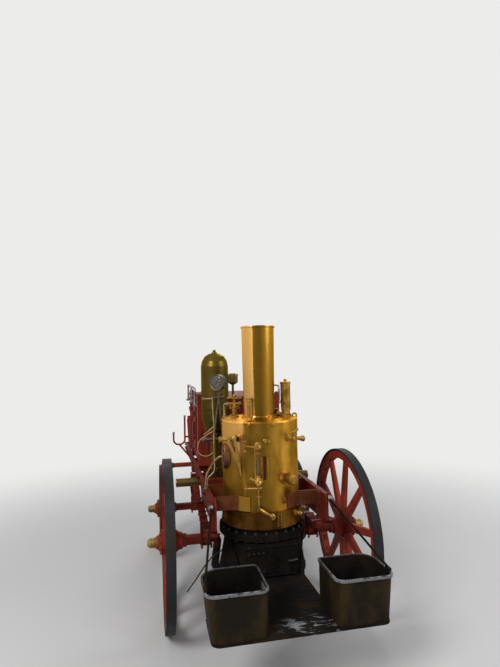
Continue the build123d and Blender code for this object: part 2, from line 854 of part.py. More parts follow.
steam_gland = steam_bottom - gland_rise
pump_gland = bed_z + gland_rise
crosshead_z = (pump_gland + steam_gland) / 2
rod_low = pump_gland - rod_travel - gland_hold
rod_high = steam_gland + rod_travel + gland_hold
rod_bore = 2 * rod_travel + gland_hold + 10
chest_top = delivery_z - delivery_r - 2
chest_back_y = engine_y + 40
chest_front_y = suction_y + 42
with BuildPart() as pump_body:
    add(block((-rail_inside, engine_y - 90, bed_z - bed_t), (rail_inside, engine_y + 60, bed_z)))
    for side in (-1, 1):
        barrel = upright(side * cylinder_x, engine_y, 0)
        add(turned(barrel, (0, barrel_bottom), (barrel_r - 30, barrel_bottom),
                   (barrel_r, barrel_bottom + 22), (barrel_r, barrel_bottom + 60),
                   (barrel_r + 12, barrel_bottom + 60), (barrel_r + 12, barrel_bottom + 76),
                   (barrel_r, barrel_bottom + 76), (barrel_r, bed_z - bed_t), (34, bed_z - bed_t),
                   (34, pump_gland - 8), (26, pump_gland), (0, pump_gland)))
    with BuildSketch(Plane.XY.offset(chest_bottom)):
        with Locations((0, (chest_back_y + chest_front_y) / 2)):
            RectangleRounded(2 * chest_half, chest_front_y - chest_back_y, 30)
    extrude(amount=chest_top - chest_bottom)
    for side in (-1, 1):
        boss = Plane(origin=(0, suction_y, suction_z), x_dir=(0, 1, 0), z_dir=(side, 0, 0))
        add(turned(boss, (0, chest_half - 20), (suction_boss_r, chest_half - 20),
                   (suction_boss_r, suction_flange_x), (0, suction_flange_x)))
    for side in (-1, 1):
        with Locations((side * cylinder_x, engine_y, pump_gland)):
            Cylinder(piston_r + pin_gap, rod_bore, align=(Align.CENTER, Align.CENTER, Align.MAX),
                     mode=Mode.SUBTRACT)
keep(pump_body, "pump_body")

with BuildPart() as suction_inlet:
    inlet = Plane(origin=(0, suction_y, suction_z), x_dir=(0, 1, 0), z_dir=(1, 0, 0))
    flange_r = suction_boss_r
    flange_end = suction_flange_x + flange_t
    add(turned(inlet, (suction_bore_r, suction_flange_x), (flange_r, suction_flange_x),
               (flange_r, flange_end), (suction_r, flange_end), (suction_r, suction_reach - 34),
               (suction_r + 10, suction_reach - 30), (suction_r + 10, suction_reach),
               (suction_bore_r, suction_reach)))
keep(suction_inlet, "suction_inlet")

with BuildPart() as delivery_pipe:
    across = Plane(origin=(0, delivery_y, delivery_z), x_dir=(0, 1, 0), z_dir=(1, 0, 0))
    flange_r = delivery_r + flange_lip
    flange_end = delivery_flange_x + flange_t
    add(turned(across, (0, -delivery_reach), (delivery_r, -delivery_reach), (delivery_r, -flange_end),
               (flange_r, -flange_end), (flange_r, -delivery_flange_x), (delivery_r, -delivery_flange_x),
               (delivery_r, delivery_flange_x), (flange_r, delivery_flange_x), (flange_r, flange_end),
               (delivery_r, flange_end), (delivery_r, delivery_reach), (0, delivery_reach)))
    add(block((-60, delivery_y - 40, chest_top), (60, delivery_y + 40, delivery_z)))
    branch_top = bed_z + 42
    add(turned(upright(vessel_x, delivery_y, 0), (0, delivery_z), (vessel_neck_r, delivery_z),
               (vessel_neck_r, branch_top - flange_t), (vessel_neck_r + 22, branch_top - flange_t),
               (vessel_neck_r + 22, branch_top), (0, branch_top)))
    for side in (-1, 1):
        with Locations(Plane(origin=(side * delivery_reach, delivery_y, delivery_z), z_dir=(side, 0, 0))):
            Cylinder(delivery_bore_r, delivery_bore_depth, align=(Align.CENTER, Align.CENTER, Align.MAX),
                     mode=Mode.SUBTRACT)
keep(delivery_pipe, "delivery_pipe")

with BuildPart() as air_vessel:
    neck_r = vessel_neck_r
    lip_r = vessel_neck_r + 24
    add(turned(upright(vessel_x, delivery_y, 0), (0, branch_top), (lip_r, branch_top),
               (lip_r, branch_top + flange_t), (neck_r, branch_top + flange_t),
               (neck_r, vessel_bottom - 14), (lip_r, vessel_bottom - 14), (lip_r, vessel_bottom),
               (86, vessel_bottom + 12), (vessel_r - 6, vessel_bottom + 90),
               (vessel_r, vessel_ring_low - 6), (vessel_r + 3, vessel_ring_low - 4),
               (vessel_r + 3, vessel_ring_low + 4), (vessel_r, vessel_ring_low + 6),
               (vessel_r, vessel_ring_high - 6), (vessel_r + 3, vessel_ring_high - 4),
               (vessel_r + 3, vessel_ring_high + 4), (vessel_r, vessel_ring_high + 6),
               (vessel_r, vessel_top - 108),
               (vessel_r - 9, vessel_top - 66), (vessel_r - 32, vessel_top - 28),
               (vessel_r - 66, vessel_top - 7), (14, vessel_top), (0, vessel_top)))
keep(air_vessel, "air_vessel")

with BuildPart() as steam_cylinders:
    for side in (-1, 1):
        add(turned(upright(side * cylinder_x, engine_y, 0),
                   (0, steam_gland), (26, steam_gland), (34, steam_gland + 10), (34, steam_bottom),
                   (steam_r + 12, steam_bottom), (steam_r + 12, steam_bottom + 14),
                   (steam_r, steam_bottom + 14), (steam_r, steam_top - 30), (steam_r + 8, steam_top - 30),
                   (steam_r + 8, steam_top - 14), (steam_r - 24, steam_top), (0, steam_top)))
    add(block((-cylinder_x, engine_y - chest_link_half, steam_bottom + 30),
              (cylinder_x, engine_y + chest_link_half, steam_top - 50)))
    with BuildSketch(Plane.XY.offset(steam_bottom + 30)):
        with Locations((0, engine_y + steam_r)):
            RectangleRounded(210, 90, 14)
    extrude(amount=steam_top - steam_bottom - 90)
    # The oil cup on the left cylinder's cover
    add(turned(upright(-cylinder_x, engine_y, 0), (0, steam_top - 5), (20, steam_top - 5), (9, steam_top + 14),
               (9, oil_cup_low - 14), (oil_cup_r - 8, oil_cup_low), (oil_cup_r, oil_cup_low + 8),
               (oil_cup_r, oil_cup_top - 10), (oil_cup_r - 16, oil_cup_top), (0, oil_cup_top)))
    for side in (-1, 1):
        with Locations((side * cylinder_x, engine_y, steam_gland)):
            Cylinder(piston_r + pin_gap, rod_bore, align=(Align.CENTER, Align.CENTER, Align.MIN),
                     mode=Mode.SUBTRACT)
keep(steam_cylinders, "steam_cylinders")

# The columns stand on the bed plate, under the lips of the steam cylinders
column_spread = (steam_r + 12 - column_r - 5) * cos(radians(45))
with BuildPart() as engine_columns:
    for side in (-1, 1):
        for end in (-1, 1):
            foot = upright(side * (cylinder_x + column_spread), engine_y + end * column_spread, 0)
            add(turned(foot, (0, bed_z), (column_r + 5, bed_z), (column_r + 5, bed_z + 12),
                       (column_r, bed_z + 12), (column_r, steam_bottom - 12),
                       (column_r + 5, steam_bottom - 12), (column_r + 5, steam_bottom), (0, steam_bottom)))
keep(engine_columns, "engine_columns")

for name, side in (("piston_rod_left", -1), ("piston_rod_right", 1)):
    with BuildPart() as piston_rod:
        x = side * cylinder_x
        add(rod((x, engine_y, rod_low), (x, engine_y, rod_high), piston_r))
        add(block((x - 32, engine_y - 24, crosshead_z - crosshead_half),
                  (x + 32, engine_y + 24, crosshead_z + crosshead_half)))
    keep(piston_rod, name)


# Turntable

with BuildPart() as upper_turntable:
    add(block((-rail_outside, front_axle_y - bolster_t / 2, upper_ring_z + ring_t),
              (rail_outside, front_axle_y + bolster_t / 2, rail_bar_bottom)))
    add(block((-40, front_axle_y - ring_r, upper_ring_z + ring_t),
              (40, front_axle_y + ring_r, upper_ring_z + ring_t + 45)))
    with BuildSketch(Plane.XY.offset(upper_ring_z)):
        with Locations((0, front_axle_y)):
            Circle(ring_r)
            Circle(ring_r - ring_w, mode=Mode.SUBTRACT)
    extrude(amount=ring_t)
    with BuildSketch(Plane.XY.offset(upper_ring_z)):
        with Locations((0, front_axle_y)):
            Circle(60)
    extrude(amount=ring_t)
    with Locations((0, front_axle_y, upper_ring_z)):
        Cylinder(king_pin_r + pin_gap, 90, align=(Align.CENTER, Align.CENTER, Align.MIN), mode=Mode.SUBTRACT)
keep(upper_turntable, "upper_turntable")

lower_ring_top = upper_ring_z - seat_gap
lower_bolster_top = lower_ring_top - ring_t
with BuildPart() as lower_turntable:
    bolster_half = front_spring_x + leaf_w / 2
    add(block((-bolster_half, front_axle_y - 40, lower_bolster_z),
              (bolster_half, front_axle_y + 40, lower_bolster_top)))
    with BuildSketch(Plane.XY.offset(lower_bolster_top)):
        with Locations((0, front_axle_y)):
            Circle(ring_r)
            Circle(ring_r - ring_w, mode=Mode.SUBTRACT)
    extrude(amount=ring_t)
    with Locations((0, front_axle_y, lower_bolster_top - 10)):
        Cylinder(king_pin_r, 90, align=(Align.CENTER, Align.CENTER, Align.MIN))
    for side in (-1, 1):
        x = side * pole_arm_x
        add(block((x - pole_arm_w / 2, front_axle_y - ring_r, lower_bolster_z + 2),
                  (x + pole_arm_w / 2, front_axle_y + pole_arm_front, lower_bolster_top)))
keep(lower_turntable, "lower_turntable")

splinter_y = front_axle_y + pole_arm_front - 60
splinter_r = 24.0
splinter_z = lower_bolster_z + 2 - splinter_r - seat_gap
pole_pin_r = 14.0
with BuildPart() as splinter_bar:
    add(rod((-splinter_half, splinter_y, splinter_z), (splinter_half, splinter_y, splinter_z), splinter_r))
keep(splinter_bar, "splinter_bar")

with BuildPart() as pole_socket:
    inner = pole_arm_x - pole_arm_w / 2
    socket_y0 = splinter_y - 90
    socket_y1 = front_axle_y + pole_arm_front - 10
    socket_z0 = lower_bolster_z + 2
    socket_z1 = lower_bolster_top
    add(block((-inner, socket_y0, socket_z0), (inner, socket_y1, socket_z0 + 6)))
    add(block((-inner, socket_y0, socket_z1 - 6), (inner, socket_y1, socket_z1)))
    add(block((-inner, socket_y0, socket_z0), (-inner + 10, socket_y1, socket_z1)))
    add(block((inner - 10, socket_y0, socket_z0), (inner, socket_y1, socket_z1)))
    with Locations((0, (socket_y0 + socket_y1) / 2, (socket_z0 + socket_z1) / 2)):
        Cylinder(pole_pin_r, 100, mode=Mode.SUBTRACT)
keep(pole_socket, "pole_socket")


# Hose box with its lid, seat and footboard

lid_hinge_y = body_front_y - body_wall / 2
lid_hinge_z = body_top + seat_gap + knuckle_r
lid_front_y = lid_hinge_y - knuckle_r - 1
lid_half = body_half - post_w / 2 - swing_gap
lid_hinge_x = (-lid_half + 80, lid_half - 80)
with BuildPart() as hose_box:
    add(block((-body_half, body_back_y, rail_top), (body_half, body_front_y, body_top)))
    for side in (-1, 1):
        for y in (body_back_y, body_front_y - post_w):
            x0 = side * (body_half - post_w / 2)
            x1 = side * (body_half + post_w / 2)
            add(block((min(x0, x1), y - 4, rail_top), (max(x0, x1), y + post_w - 4, post_top)))
    add(block((-body_half + body_wall, body_back_y + body_wall, rail_top + body_floor),
              (body_half - body_wall, body_front_y - body_wall, post_top + 10)), mode=Mode.SUBTRACT)
    panel = 5.0
    panel_low = rail_top + 70
    panel_high = body_top - 60
    add(block((-body_half + 60, body_back_y - 1, panel_low), (body_half - 60, body_back_y + panel, panel_high)),
        mode=Mode.SUBTRACT)
    for side in (-1, 1):
        x0 = side * (body_half - panel)
        x1 = side * (body_half + 30)
        mid = (body_back_y + body_front_y) / 2
        for y0, y1 in ((body_back_y + 70, mid - 25), (mid + 25, body_front_y - 70)):
            add(block((min(x0, x1), y0, panel_low), (max(x0, x1), y1, panel_high)), mode=Mode.SUBTRACT)
    for x in lid_hinge_x:
        for end in (-1, 1):
            ear_x = x + end * (lid_knuckle / 2 + 1 + lug_h / 2)
            add(block((ear_x - lug_h / 2, lid_hinge_y - knuckle_r, body_top),
                      (ear_x + lug_h / 2, lid_hinge_y + knuckle_r, lid_hinge_z)))
            with Locations(Plane(origin=(ear_x, lid_hinge_y, lid_hinge_z), z_dir=(1, 0, 0))):
                Cylinder(knuckle_r, lug_h)
        reach = lid_knuckle / 2 + 1 + lug_h
        add(rod((x - reach, lid_hinge_y, lid_hinge_z), (x + reach, lid_hinge_y, lid_hinge_z), hinge_pin_r))
keep(hose_box, "hose_box")

with BuildPart() as hose_box_lid:
    with BuildSketch(Plane.XY.offset(body_top + seat_gap)) as lid_outline:
        with BuildLine():
            Polyline(
                (-lid_half, body_back_y - lid_overhang),
                (lid_half, body_back_y - lid_overhang),
                (lid_half, lid_front_y),
                (-lid_half, lid_front_y),
                close=True,
            )
        make_face()
    extrude(amount=lid_t)
    for x in lid_hinge_x:
        add(block((x - lid_knuckle / 2, lid_front_y - 4, body_top + seat_gap),
                  (x + lid_knuckle / 2, lid_hinge_y, lid_hinge_z)))
        with Locations(Plane(origin=(x, lid_hinge_y, lid_hinge_z), z_dir=(1, 0, 0))):
            Cylinder(knuckle_r, lid_knuckle)
        with Locations(Plane(origin=(x, lid_hinge_y, lid_hinge_z), z_dir=(1, 0, 0))):
            Cylinder(hinge_pin_r + pin_gap, lid_knuckle, mode=Mode.SUBTRACT)
keep(hose_box_lid, "hose_box_lid")

with BuildPart() as driver_seat:
    seat_back_y = body_front_y + seat_gap
    seat_depth = seat_front_y - seat_back_y
    add(block((-body_half + 30, seat_back_y, rail_top),
              (body_half - 30, seat_front_y - 40, seat_top - seat_plank_t)))
    with BuildSketch(Plane.XY.offset(seat_top - seat_plank_t)):
        with Locations((0, seat_back_y + seat_depth / 2)):
            RectangleRounded(2 * body_half, seat_depth, 30)
    extrude(amount=seat_plank_t)
keep(driver_seat, "driver_seat")

with BuildPart() as seat_cushion:
    cushion_y0 = body_front_y + cushion_gap
    cushion_y1 = seat_front_y - cushion_front
    with BuildSketch(Plane.XY.offset(seat_top)):
        with Locations((0, (cushion_y0 + cushion_y1) / 2)):
            RectangleRounded(2 * cushion_half, cushion_y1 - cushion_y0, cushion_corner)
    extrude(amount=cushion_h)
    fillet(seat_cushion.faces().sort_by(Axis.Z)[-1].edges(), cushion_round)
keep(seat_cushion, "seat_cushion")

# A low rail runs round the back and the ends of the seat
with BuildPart() as seat_rail:
    back_y = body_front_y + seat_rail_gap
    end_y = seat_front_y - seat_rail_front
    bar_z = seat_top + seat_rail_rise
    add(bent_rod([(-seat_rail_half, end_y, seat_top), (-seat_rail_half, end_y, bar_z),
                  (-seat_rail_half, back_y, bar_z), (seat_rail_half, back_y, bar_z),
                  (seat_rail_half, end_y, bar_z), (seat_rail_half, end_y, seat_top)],
                 30, seat_rail_r))
    post_r = seat_rail_r - 1
    for x in (-seat_rail_post_x, 0, seat_rail_post_x):
        add(rod((x, back_y, seat_top), (x, back_y, bar_z), post_r))
    for side in (-1, 1):
        x = side * seat_rail_half
        y = (back_y + end_y) / 2
        add(rod((x, y, seat_top), (x, y, bar_z), post_r))
keep(seat_rail, "seat_rail")

with BuildPart() as footboard:
    with BuildSketch(Plane.YZ.offset(-body_half + 10)):
        with BuildLine():
            FilletPolyline(
                (seat_front_y - 36, rail_top + board_t / 2),
                (rear_axle_y + 2060, rail_top + board_t / 2),
                (rear_axle_y + dash_front - board_bead_r, dash_top),
                radius=90,
            )
        trace(line_width=board_t)
        with Locations((rear_axle_y + dash_front - board_bead_r, dash_top)):
            Circle(board_bead_r)
    extrude(amount=2 * body_half - 20)
keep(footboard, "footboard")

with BuildPart() as hand_rails:
    for side in (-1, 1):
        x = side * hand_rail_x
        y0 = body_back_y + 60
        y1 = body_front_y - 60
        foot_z = body_top - 40
        add(bent_rod([(x, y0, foot_z), (x, y0, hand_rail_z), (x, y1, hand_rail_z), (x, y1, foot_z)],
                     30, hand_rail_r))
        add(rod((x, (y0 + y1) / 2, foot_z), (x, (y0 + y1) / 2, hand_rail_z), hand_rail_r - 1))
        for y in (y0, (y0 + y1) / 2, y1):
            x0 = side * body_half
            x1 = side * (hand_rail_x + 12)
            add(block((min(x0, x1), y - 14, foot_z - 14), (max(x0, x1), y + 14, foot_z + 1)))
keep(hand_rails, "hand_rails")

with BuildPart() as hose_crutches:
    for side in (-1, 1):
        inner = side * crutch_inner_x
        outer = side * crutch_outer_x
        add(bent_rod([(inner, crutch_y, 1235), (inner, crutch_y, crutch_low_z),
                      (outer, crutch_y, crutch_low_z), (outer, crutch_y, 1090)], 44, crutch_r))
        add(rod((side * (body_half + seat_gap), crutch_y, 1050), (inner, crutch_y, 1050), crutch_r))
        foot_x = side * (rail_outside + seat_gap)
        add(rod((outer - side * 50, crutch_y, crutch_low_z), (foot_x + side * 8, crutch_y, 845), crutch_r))
        add(block((min(foot_x, foot_x + side * 14), crutch_y - 14, 825),
                  (max(foot_x, foot_x + side * 14), crutch_y + 14, 857)))
keep(hose_crutches, "hose_crutches")


# Boiler fittings

with BuildPart() as boiler_valves:
    # Safety valve
    add(turned(upright(safety_x, boiler_y, 0), (0, boiler_top), (safety_r + 4, boiler_top),
               (safety_r + 4, boiler_top + 12), (safety_r - 5, boiler_top + 16), (safety_r - 5, boiler_top + 44),
               (safety_r, boiler_top + 48), (safety_r, safety_top - 34), (safety_r + 4, safety_top - 30),
               (safety_r + 4, safety_top - 20), (12, safety_top - 14), (12, safety_top - 6),
               (8, safety_top), (0, safety_top)))
    # Stop valve with its hand wheel
    add(turned(upright(stop_x, stop_y, 0), (0, boiler_top), (30, boiler_top), (30, boiler_top + 10),
               (17, boiler_top + 14), (17, boiler_top + 60), (24, boiler_top + 64), (24, boiler_top + 76),
               (12, boiler_top + 82), (8, boiler_top + 90), (8, hand_wheel_z - 8), (14, hand_wheel_z - 8),
               (14, hand_wheel_z + 10), (0, hand_wheel_z + 10)))
    add(rod((stop_x - stop_arm, stop_y, stop_arm_z), (stop_x + stop_arm, stop_y, stop_arm_z), 10))
    half_rim = hand_wheel_rim / 2
    add(turned(upright(stop_x, stop_y, hand_wheel_z),
               (hand_wheel_r - hand_wheel_rim, -half_rim), (hand_wheel_r - half_rim, -hand_wheel_rim),
               (hand_wheel_r + half_rim, -hand_wheel_rim), (hand_wheel_r + hand_wheel_rim, -half_rim),
               (hand_wheel_r + hand_wheel_rim, half_rim), (hand_wheel_r + half_rim, hand_wheel_rim),
               (hand_wheel_r - half_rim, hand_wheel_rim), (hand_wheel_r - hand_wheel_rim, half_rim)))
    middle = Vector(stop_x, stop_y, hand_wheel_z)
    for angle in (20, 140, 260):
        spoke = Vector(cos(radians(angle)), sin(radians(angle)), 0) * hand_wheel_r
        add(tapered(middle, middle + spoke, hand_wheel_rim, hand_wheel_rim - 2))
    # Test pipe
    add(turned(upright(test_pipe_x, boiler_y + test_pipe_ahead, 0), (0, boiler_top), (13, boiler_top),
               (13, boiler_top + 8), (12, boiler_top + 12), (12, test_pipe_top - 26), (18, test_pipe_top - 22),
               (18, test_pipe_top - 8), (8, test_pipe_top), (0, test_pipe_top)))
keep(boiler_valves, "boiler_valves")


def cock(plane, body_r, length):
    """A screwed cock that stands out of a plane: flange, stem and body."""
    return turned(plane, (0, 0), (body_r + 5, 0), (body_r + 5, 7), (body_r - 5, 10), (body_r - 5, length - 26),
                  (body_r, length - 22), (body_r, length), (body_r - 6, length + 5), (0, length + 5))


def bar_between(plane, start, end, start_r, end_r):
    """A tapered bar placed by (along, up, out) on a plane."""
    return tapered(plane.from_local_coords(start), plane.from_local_coords(end), start_r, end_r)


stud_places = [
    # angle, height, radius, length
    (-28.0, 1308.0, 8.0, 20.0),
    (6.7, 1306.0, 8.0, 20.0),
    (-5.5, 1209.0, 9.0, 26.0),
    (-0.5, 1209.0, 9.0, 26.0),
]
gauge_seat_low = on_boiler(gauge_angle, gauge_low)
gauge_seat_high = on_boiler(gauge_angle, gauge_high)
with BuildPart() as boiler_fittings:
    # Water gauge cocks with their sleeves, handles and guard rod
    for seat, up in ((gauge_seat_low, 1), (gauge_seat_high, -1)):
        add(cock(seat, gauge_cock_r, gauge_out + gauge_cock_r))
        middle = seat.from_local_coords((0, 0, gauge_out))
        sleeve = Plane(origin=middle, x_dir=(1, 0, 0), z_dir=(0, 0, up))
        add(turned(sleeve, (0, 0), (gauge_cock_r - 4, 0), (gauge_cock_r - 4, 24), (13, 30),
                   (13, sleeve_h), (0, sleeve_h)))
    add(bar_between(gauge_seat_high, (0, 0, gauge_out), (-80, 4, gauge_out), 8, 6))
    add(bar_between(gauge_seat_high, (-80, -18, gauge_out), (-80, 26, gauge_out), 7, 7))
    add(bar_between(gauge_seat_low, (0, 0, gauge_out), (-44, 22, gauge_out), 6, 9))
    add(bar_between(gauge_seat_low, (0, 0, gauge_out), (0, -36, gauge_out), 11, 8))
    add(bar_between(gauge_seat_low, (-78, -38, gauge_out), (10, -36, gauge_out), 7, 7))
    add(bar_between(gauge_seat_low, (-18, 0, gauge_out), (-18, gauge_high - gauge_low, gauge_out), 4, 4))
    # Drain below the gauge, and the tee it runs to
    add(bar_between(gauge_seat_low, (0, -30, gauge_out), (0, drain_low - gauge_low, gauge_out), 7, 7))
    drain_end = gauge_seat_low.from_local_coords((0, drain_low - gauge_low, gauge_out))
    tee_end = on_boiler(tee_angle, tee_low, belt_r).from_local_coords((0, 0, tee_r + 2))
    add(tapered(drain_end, tee_end, tee_r, tee_r - 3))
    add(turned(on_boiler(tee_angle, tee_low, belt_r), (0, 0), (tee_r + 6, 0), (tee_r + 6, 8), (tee_r - 3, 12),
               (tee_r - 3, tee_r + 16), (0, tee_r + 16)))
    # Left valve: a level barrel and a long hanging lever
    seat = on_boiler(left_valve_angle, left_valve_z)
    add(cock(seat, 20, 64))
    barrel = seat.from_local_coords((0, 0, 48))
    add(tapered(barrel, barrel + Vector(-left_barrel, 0, 0), 13, 13))
    add(tapered(barrel + Vector(-left_barrel + 4, 0, 0), barrel + Vector(-left_barrel - 16, 0, 0), 19, 19))
    add(tapered(barrel, barrel + Vector(30, 6, -left_lever), 12, 6))
    # Right valve: a cross lever and a conical handle
    seat = on_boiler(right_valve_angle, right_valve_z)
    add(cock(seat, 18, 58))
    add(bar_between(seat, (0, 0, 46), (0, 42, 46), 10, 7))
    add(bar_between(seat, (-64, 34, 46), (40, 48, 46), 6, 6))
    add(bar_between(seat, (14, 0, 46), (right_cone, -12, 46), 7, 18))
    # Feed union
    seat = on_boiler(union_angle, union_z)
    with BuildSketch(seat):
        RegularPolygon(union_hex_r, 6)
    extrude(amount=union_hex_t)
    add(turned(seat, (0, union_hex_t - 1), (24, union_hex_t - 1), (24, union_reach - 32),
               (union_cap_r, union_reach - 28), (union_cap_r, union_reach - 8),
               (union_cap_r - 10, union_reach), (0, union_reach)))
    # Lever valve on the belt
    seat = on_boiler(belt_valve_angle, belt_valve_z, belt_r)
    add(cock(seat, 15, 44))
    add(bar_between(seat, (-6, 2, 34), (64, 14, 34), 6, 8))
    # Pipe that climbs over the right edge of the crown
    rim_pipe_x = boiler_r + rim_pipe_r + 3
    add(bent_rod([(boiler_r - 18, boiler_y, boiler_top), (boiler_r - 18, boiler_y, boiler_top + 20),
                  (rim_pipe_x, boiler_y, boiler_top + 20), (rim_pipe_x, boiler_y, rim_pipe_low)],
                 9, rim_pipe_r))
    add(turned(on_boiler(90, rim_pipe_low), (0, 0), (12, 0), (12, 5), (9, 18), (0, 18)))
    for angle, z, stud_r, length in stud_places:
        add(turned(on_boiler(angle, z), (0, 0), (stud_r + 4, 0), (stud_r + 4, 5), (stud_r, 7),
                   (stud_r, length), (0, length)))
keep(boiler_fittings, "boiler_fittings")

# Oval hand-hole plate on the left of the shell, with raised ribs
with BuildPart() as hand_hole_plate:
    with BuildSketch(Plane.YZ.offset(-boiler_r - seat_gap - plate_reach)):
        with Locations((boiler_y - plate_back, plate_z)):
            Ellipse(plate_half_y, plate_half_z)
    extrude(amount=plate_reach + plate_deep)
    with BuildSketch(Plane.YZ.offset(-boiler_r - seat_gap - plate_reach - plate_rib)):
        with Locations((boiler_y - plate_back, plate_z)):
            with GridLocations(0, plate_rib_pitch, 1, 4):
                Rectangle(plate_half_y, plate_rib_pitch / 2)
    extrude(amount=plate_rib)
    with Locations((0, boiler_y, plate_z)):
        Cylinder(boiler_r + seat_gap, 4 * plate_half_z, mode=Mode.SUBTRACT)
keep(hand_hole_plate, "hand_hole_plate")

with BuildPart() as water_gauge_glass:
    glass_low = gauge_seat_low.from_local_coords((0, sleeve_h + seat_gap, gauge_out))
    glass_high = gauge_seat_high.from_local_coords((0, -sleeve_h - seat_gap, gauge_out))
    add(tapered(glass_low, glass_high, glass_r, glass_r))
keep(water_gauge_glass, "water_gauge_glass")

face = Vector(-sin(radians(dial_turn)), -cos(radians(dial_turn)), 0)
with BuildPart() as pressure_gauge:
    # Level pipe from the left steam cylinder, with a knob at its free end
    add(bent_rod([(exhaust_end_x, dial_y, exhaust_z), (-cylinder_x, dial_y, exhaust_z),
                  (-cylinder_x, engine_y - steam_r - seat_gap, exhaust_z)], 26, exhaust_r))
    add(turned(Plane(origin=(exhaust_end_x, dial_y, exhaust_z), x_dir=(0, 1, 0), z_dir=(-1, 0, 0)),
               (0, -24), (20, -24), (20, 0), (12, 4), (0, 4)))
    # Siphon legs up to the gauge cock
    for foot_x in siphon_feet_x:
        add(tapered((foot_x, dial_y, exhaust_z), (dial_x, dial_y, dial_cock_z), 7, 6))
    add(rod((dial_x - 34, dial_y, dial_cock_z), (dial_x + 34, dial_y, dial_cock_z), 9))
    add(rod((dial_x, dial_y, dial_cock_z - 16), (dial_x, dial_y, dial_z - dial_r + 6), 8))
    dial = Plane(origin=(dial_x, dial_y, dial_z), x_dir=(-face.Y, face.X, 0), z_dir=face)
    add(turned(dial, (0, -30), (dial_r - 8, -30), (dial_r, -24), (dial_r, 18), (dial_r + 4, 20),
               (dial_r + 4, 30), (dial_r - 5, 30), (dial_r - 5, 23), (0, 23)))
keep(pressure_gauge, "pressure_gauge")

steam_pipe_y = boiler_y + boiler_r + seat_gap
steam_pipe_length = engine_y - chest_link_half - seat_gap - steam_pipe_y
with BuildPart() as steam_pipe:
    add(turned(Plane(origin=(0, steam_pipe_y, steam_pipe_z), x_dir=(1, 0, 0), z_dir=(0, 1, 0)),
               (0, 0), (34, 0), (34, 10), (steam_pipe_r, 14), (steam_pipe_r, steam_pipe_length - 12),
               (26, steam_pipe_length - 10), (26, steam_pipe_length), (0, steam_pipe_length)))
keep(steam_pipe, "steam_pipe")
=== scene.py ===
from itertools import product
from math import cos, exp, pi, radians, sin, sqrt, tan

import bpy
from mathutils import Matrix, Vector


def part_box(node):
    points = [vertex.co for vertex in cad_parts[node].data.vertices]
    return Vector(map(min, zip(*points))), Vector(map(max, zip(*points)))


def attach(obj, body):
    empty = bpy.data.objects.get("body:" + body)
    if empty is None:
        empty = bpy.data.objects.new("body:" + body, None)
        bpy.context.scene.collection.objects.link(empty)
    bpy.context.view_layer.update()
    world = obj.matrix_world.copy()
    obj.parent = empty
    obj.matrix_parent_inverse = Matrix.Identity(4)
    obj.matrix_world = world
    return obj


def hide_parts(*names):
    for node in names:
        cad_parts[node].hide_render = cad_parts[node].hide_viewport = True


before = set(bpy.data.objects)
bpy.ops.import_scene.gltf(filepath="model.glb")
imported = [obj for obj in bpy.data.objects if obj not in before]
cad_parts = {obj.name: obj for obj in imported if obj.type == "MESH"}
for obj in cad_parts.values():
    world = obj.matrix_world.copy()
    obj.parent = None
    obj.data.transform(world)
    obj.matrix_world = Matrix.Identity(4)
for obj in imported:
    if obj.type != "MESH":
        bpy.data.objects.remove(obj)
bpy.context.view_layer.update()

bl_info = {
    "name": "Steam fire engine dressing",
    "version": (1, 0, 0),
    "blender": (4, 5, 0),
    "location": "3D View > Sidebar > Fire engine",
    "description": "Adds finishes, fastenings and fittings to a packed steam fire engine",
    "category": "Object",
}

# Shapes are written in millimetres, materials in metres; MM leads from one to the other
MM = 0.001
REAR = -632.5
FRONT = 637.5
BOILER = REAR - 60.0
SHELL_RADIUS = 256.0
SHELL_TOP = 1326.0
ENGINE = REAR + 412.0
DELIVERY = REAR + 573.0
SUCTION = REAR + 610.0
VESSEL_X = -221.0
SPOKES = 10
SPOKE_START = 25.0
SIDES = (-1, 1)
UP, DOWN, AHEAD, BACK = (0, 0, 1), (0, 0, -1), (0, 1, 0), (0, -1, 0)
GOLD_SHINE = (1.0, 0.70, 0.28, 1.0)
BRASS_SHINE = (1.0, 0.74, 0.36, 1.0)
BACKDROP = (0.84, 0.84, 0.83, 1.0)
WHEELS = ("rear_wheel_left", "rear_wheel_right", "front_wheel_left", "front_wheel_right")


# Node trees

def add_node(tree, kind, inputs=(), **settings):
    """A new node with its settings, and values or links in its inputs."""
    node = tree.nodes.new(kind)
    for name, value in settings.items():
        setattr(node, name, value)
    for key, value in dict(inputs).items():
        value = getattr(value, "socket", value)
        if isinstance(value, bpy.types.NodeSocket):
            tree.links.new(value, node.inputs[key])
        else:
            node.inputs[key].default_value = value
    return node


class Wire:
    """A value in a material's tree that takes part in sums."""

    def __init__(self, tree, socket):
        self.tree, self.socket = tree, socket

    def math(self, kind, other, swapped=False):
        pair = (other, self) if swapped else (self, other)
        node = add_node(self.tree, "ShaderNodeMath", enumerate(pair), operation=kind)
        return Wire(self.tree, node.outputs[0])

    def __add__(self, other):
        return self.math("ADD", other)

    def __mul__(self, other):
        return self.math("MULTIPLY", other)

    def __sub__(self, other):
        return self.math("SUBTRACT", other)

    def __rsub__(self, other):
        return self.math("SUBTRACT", other, True)

    def ramp(self, low, high, start=0.0, end=1.0):
        limits = {"Value": self, "From Min": low, "From Max": high, "To Min": start, "To Max": end}
        node = add_node(self.tree, "ShaderNodeMapRange", limits, interpolation_type="SMOOTHSTEP")
        return Wire(self.tree, node.outputs["Result"])


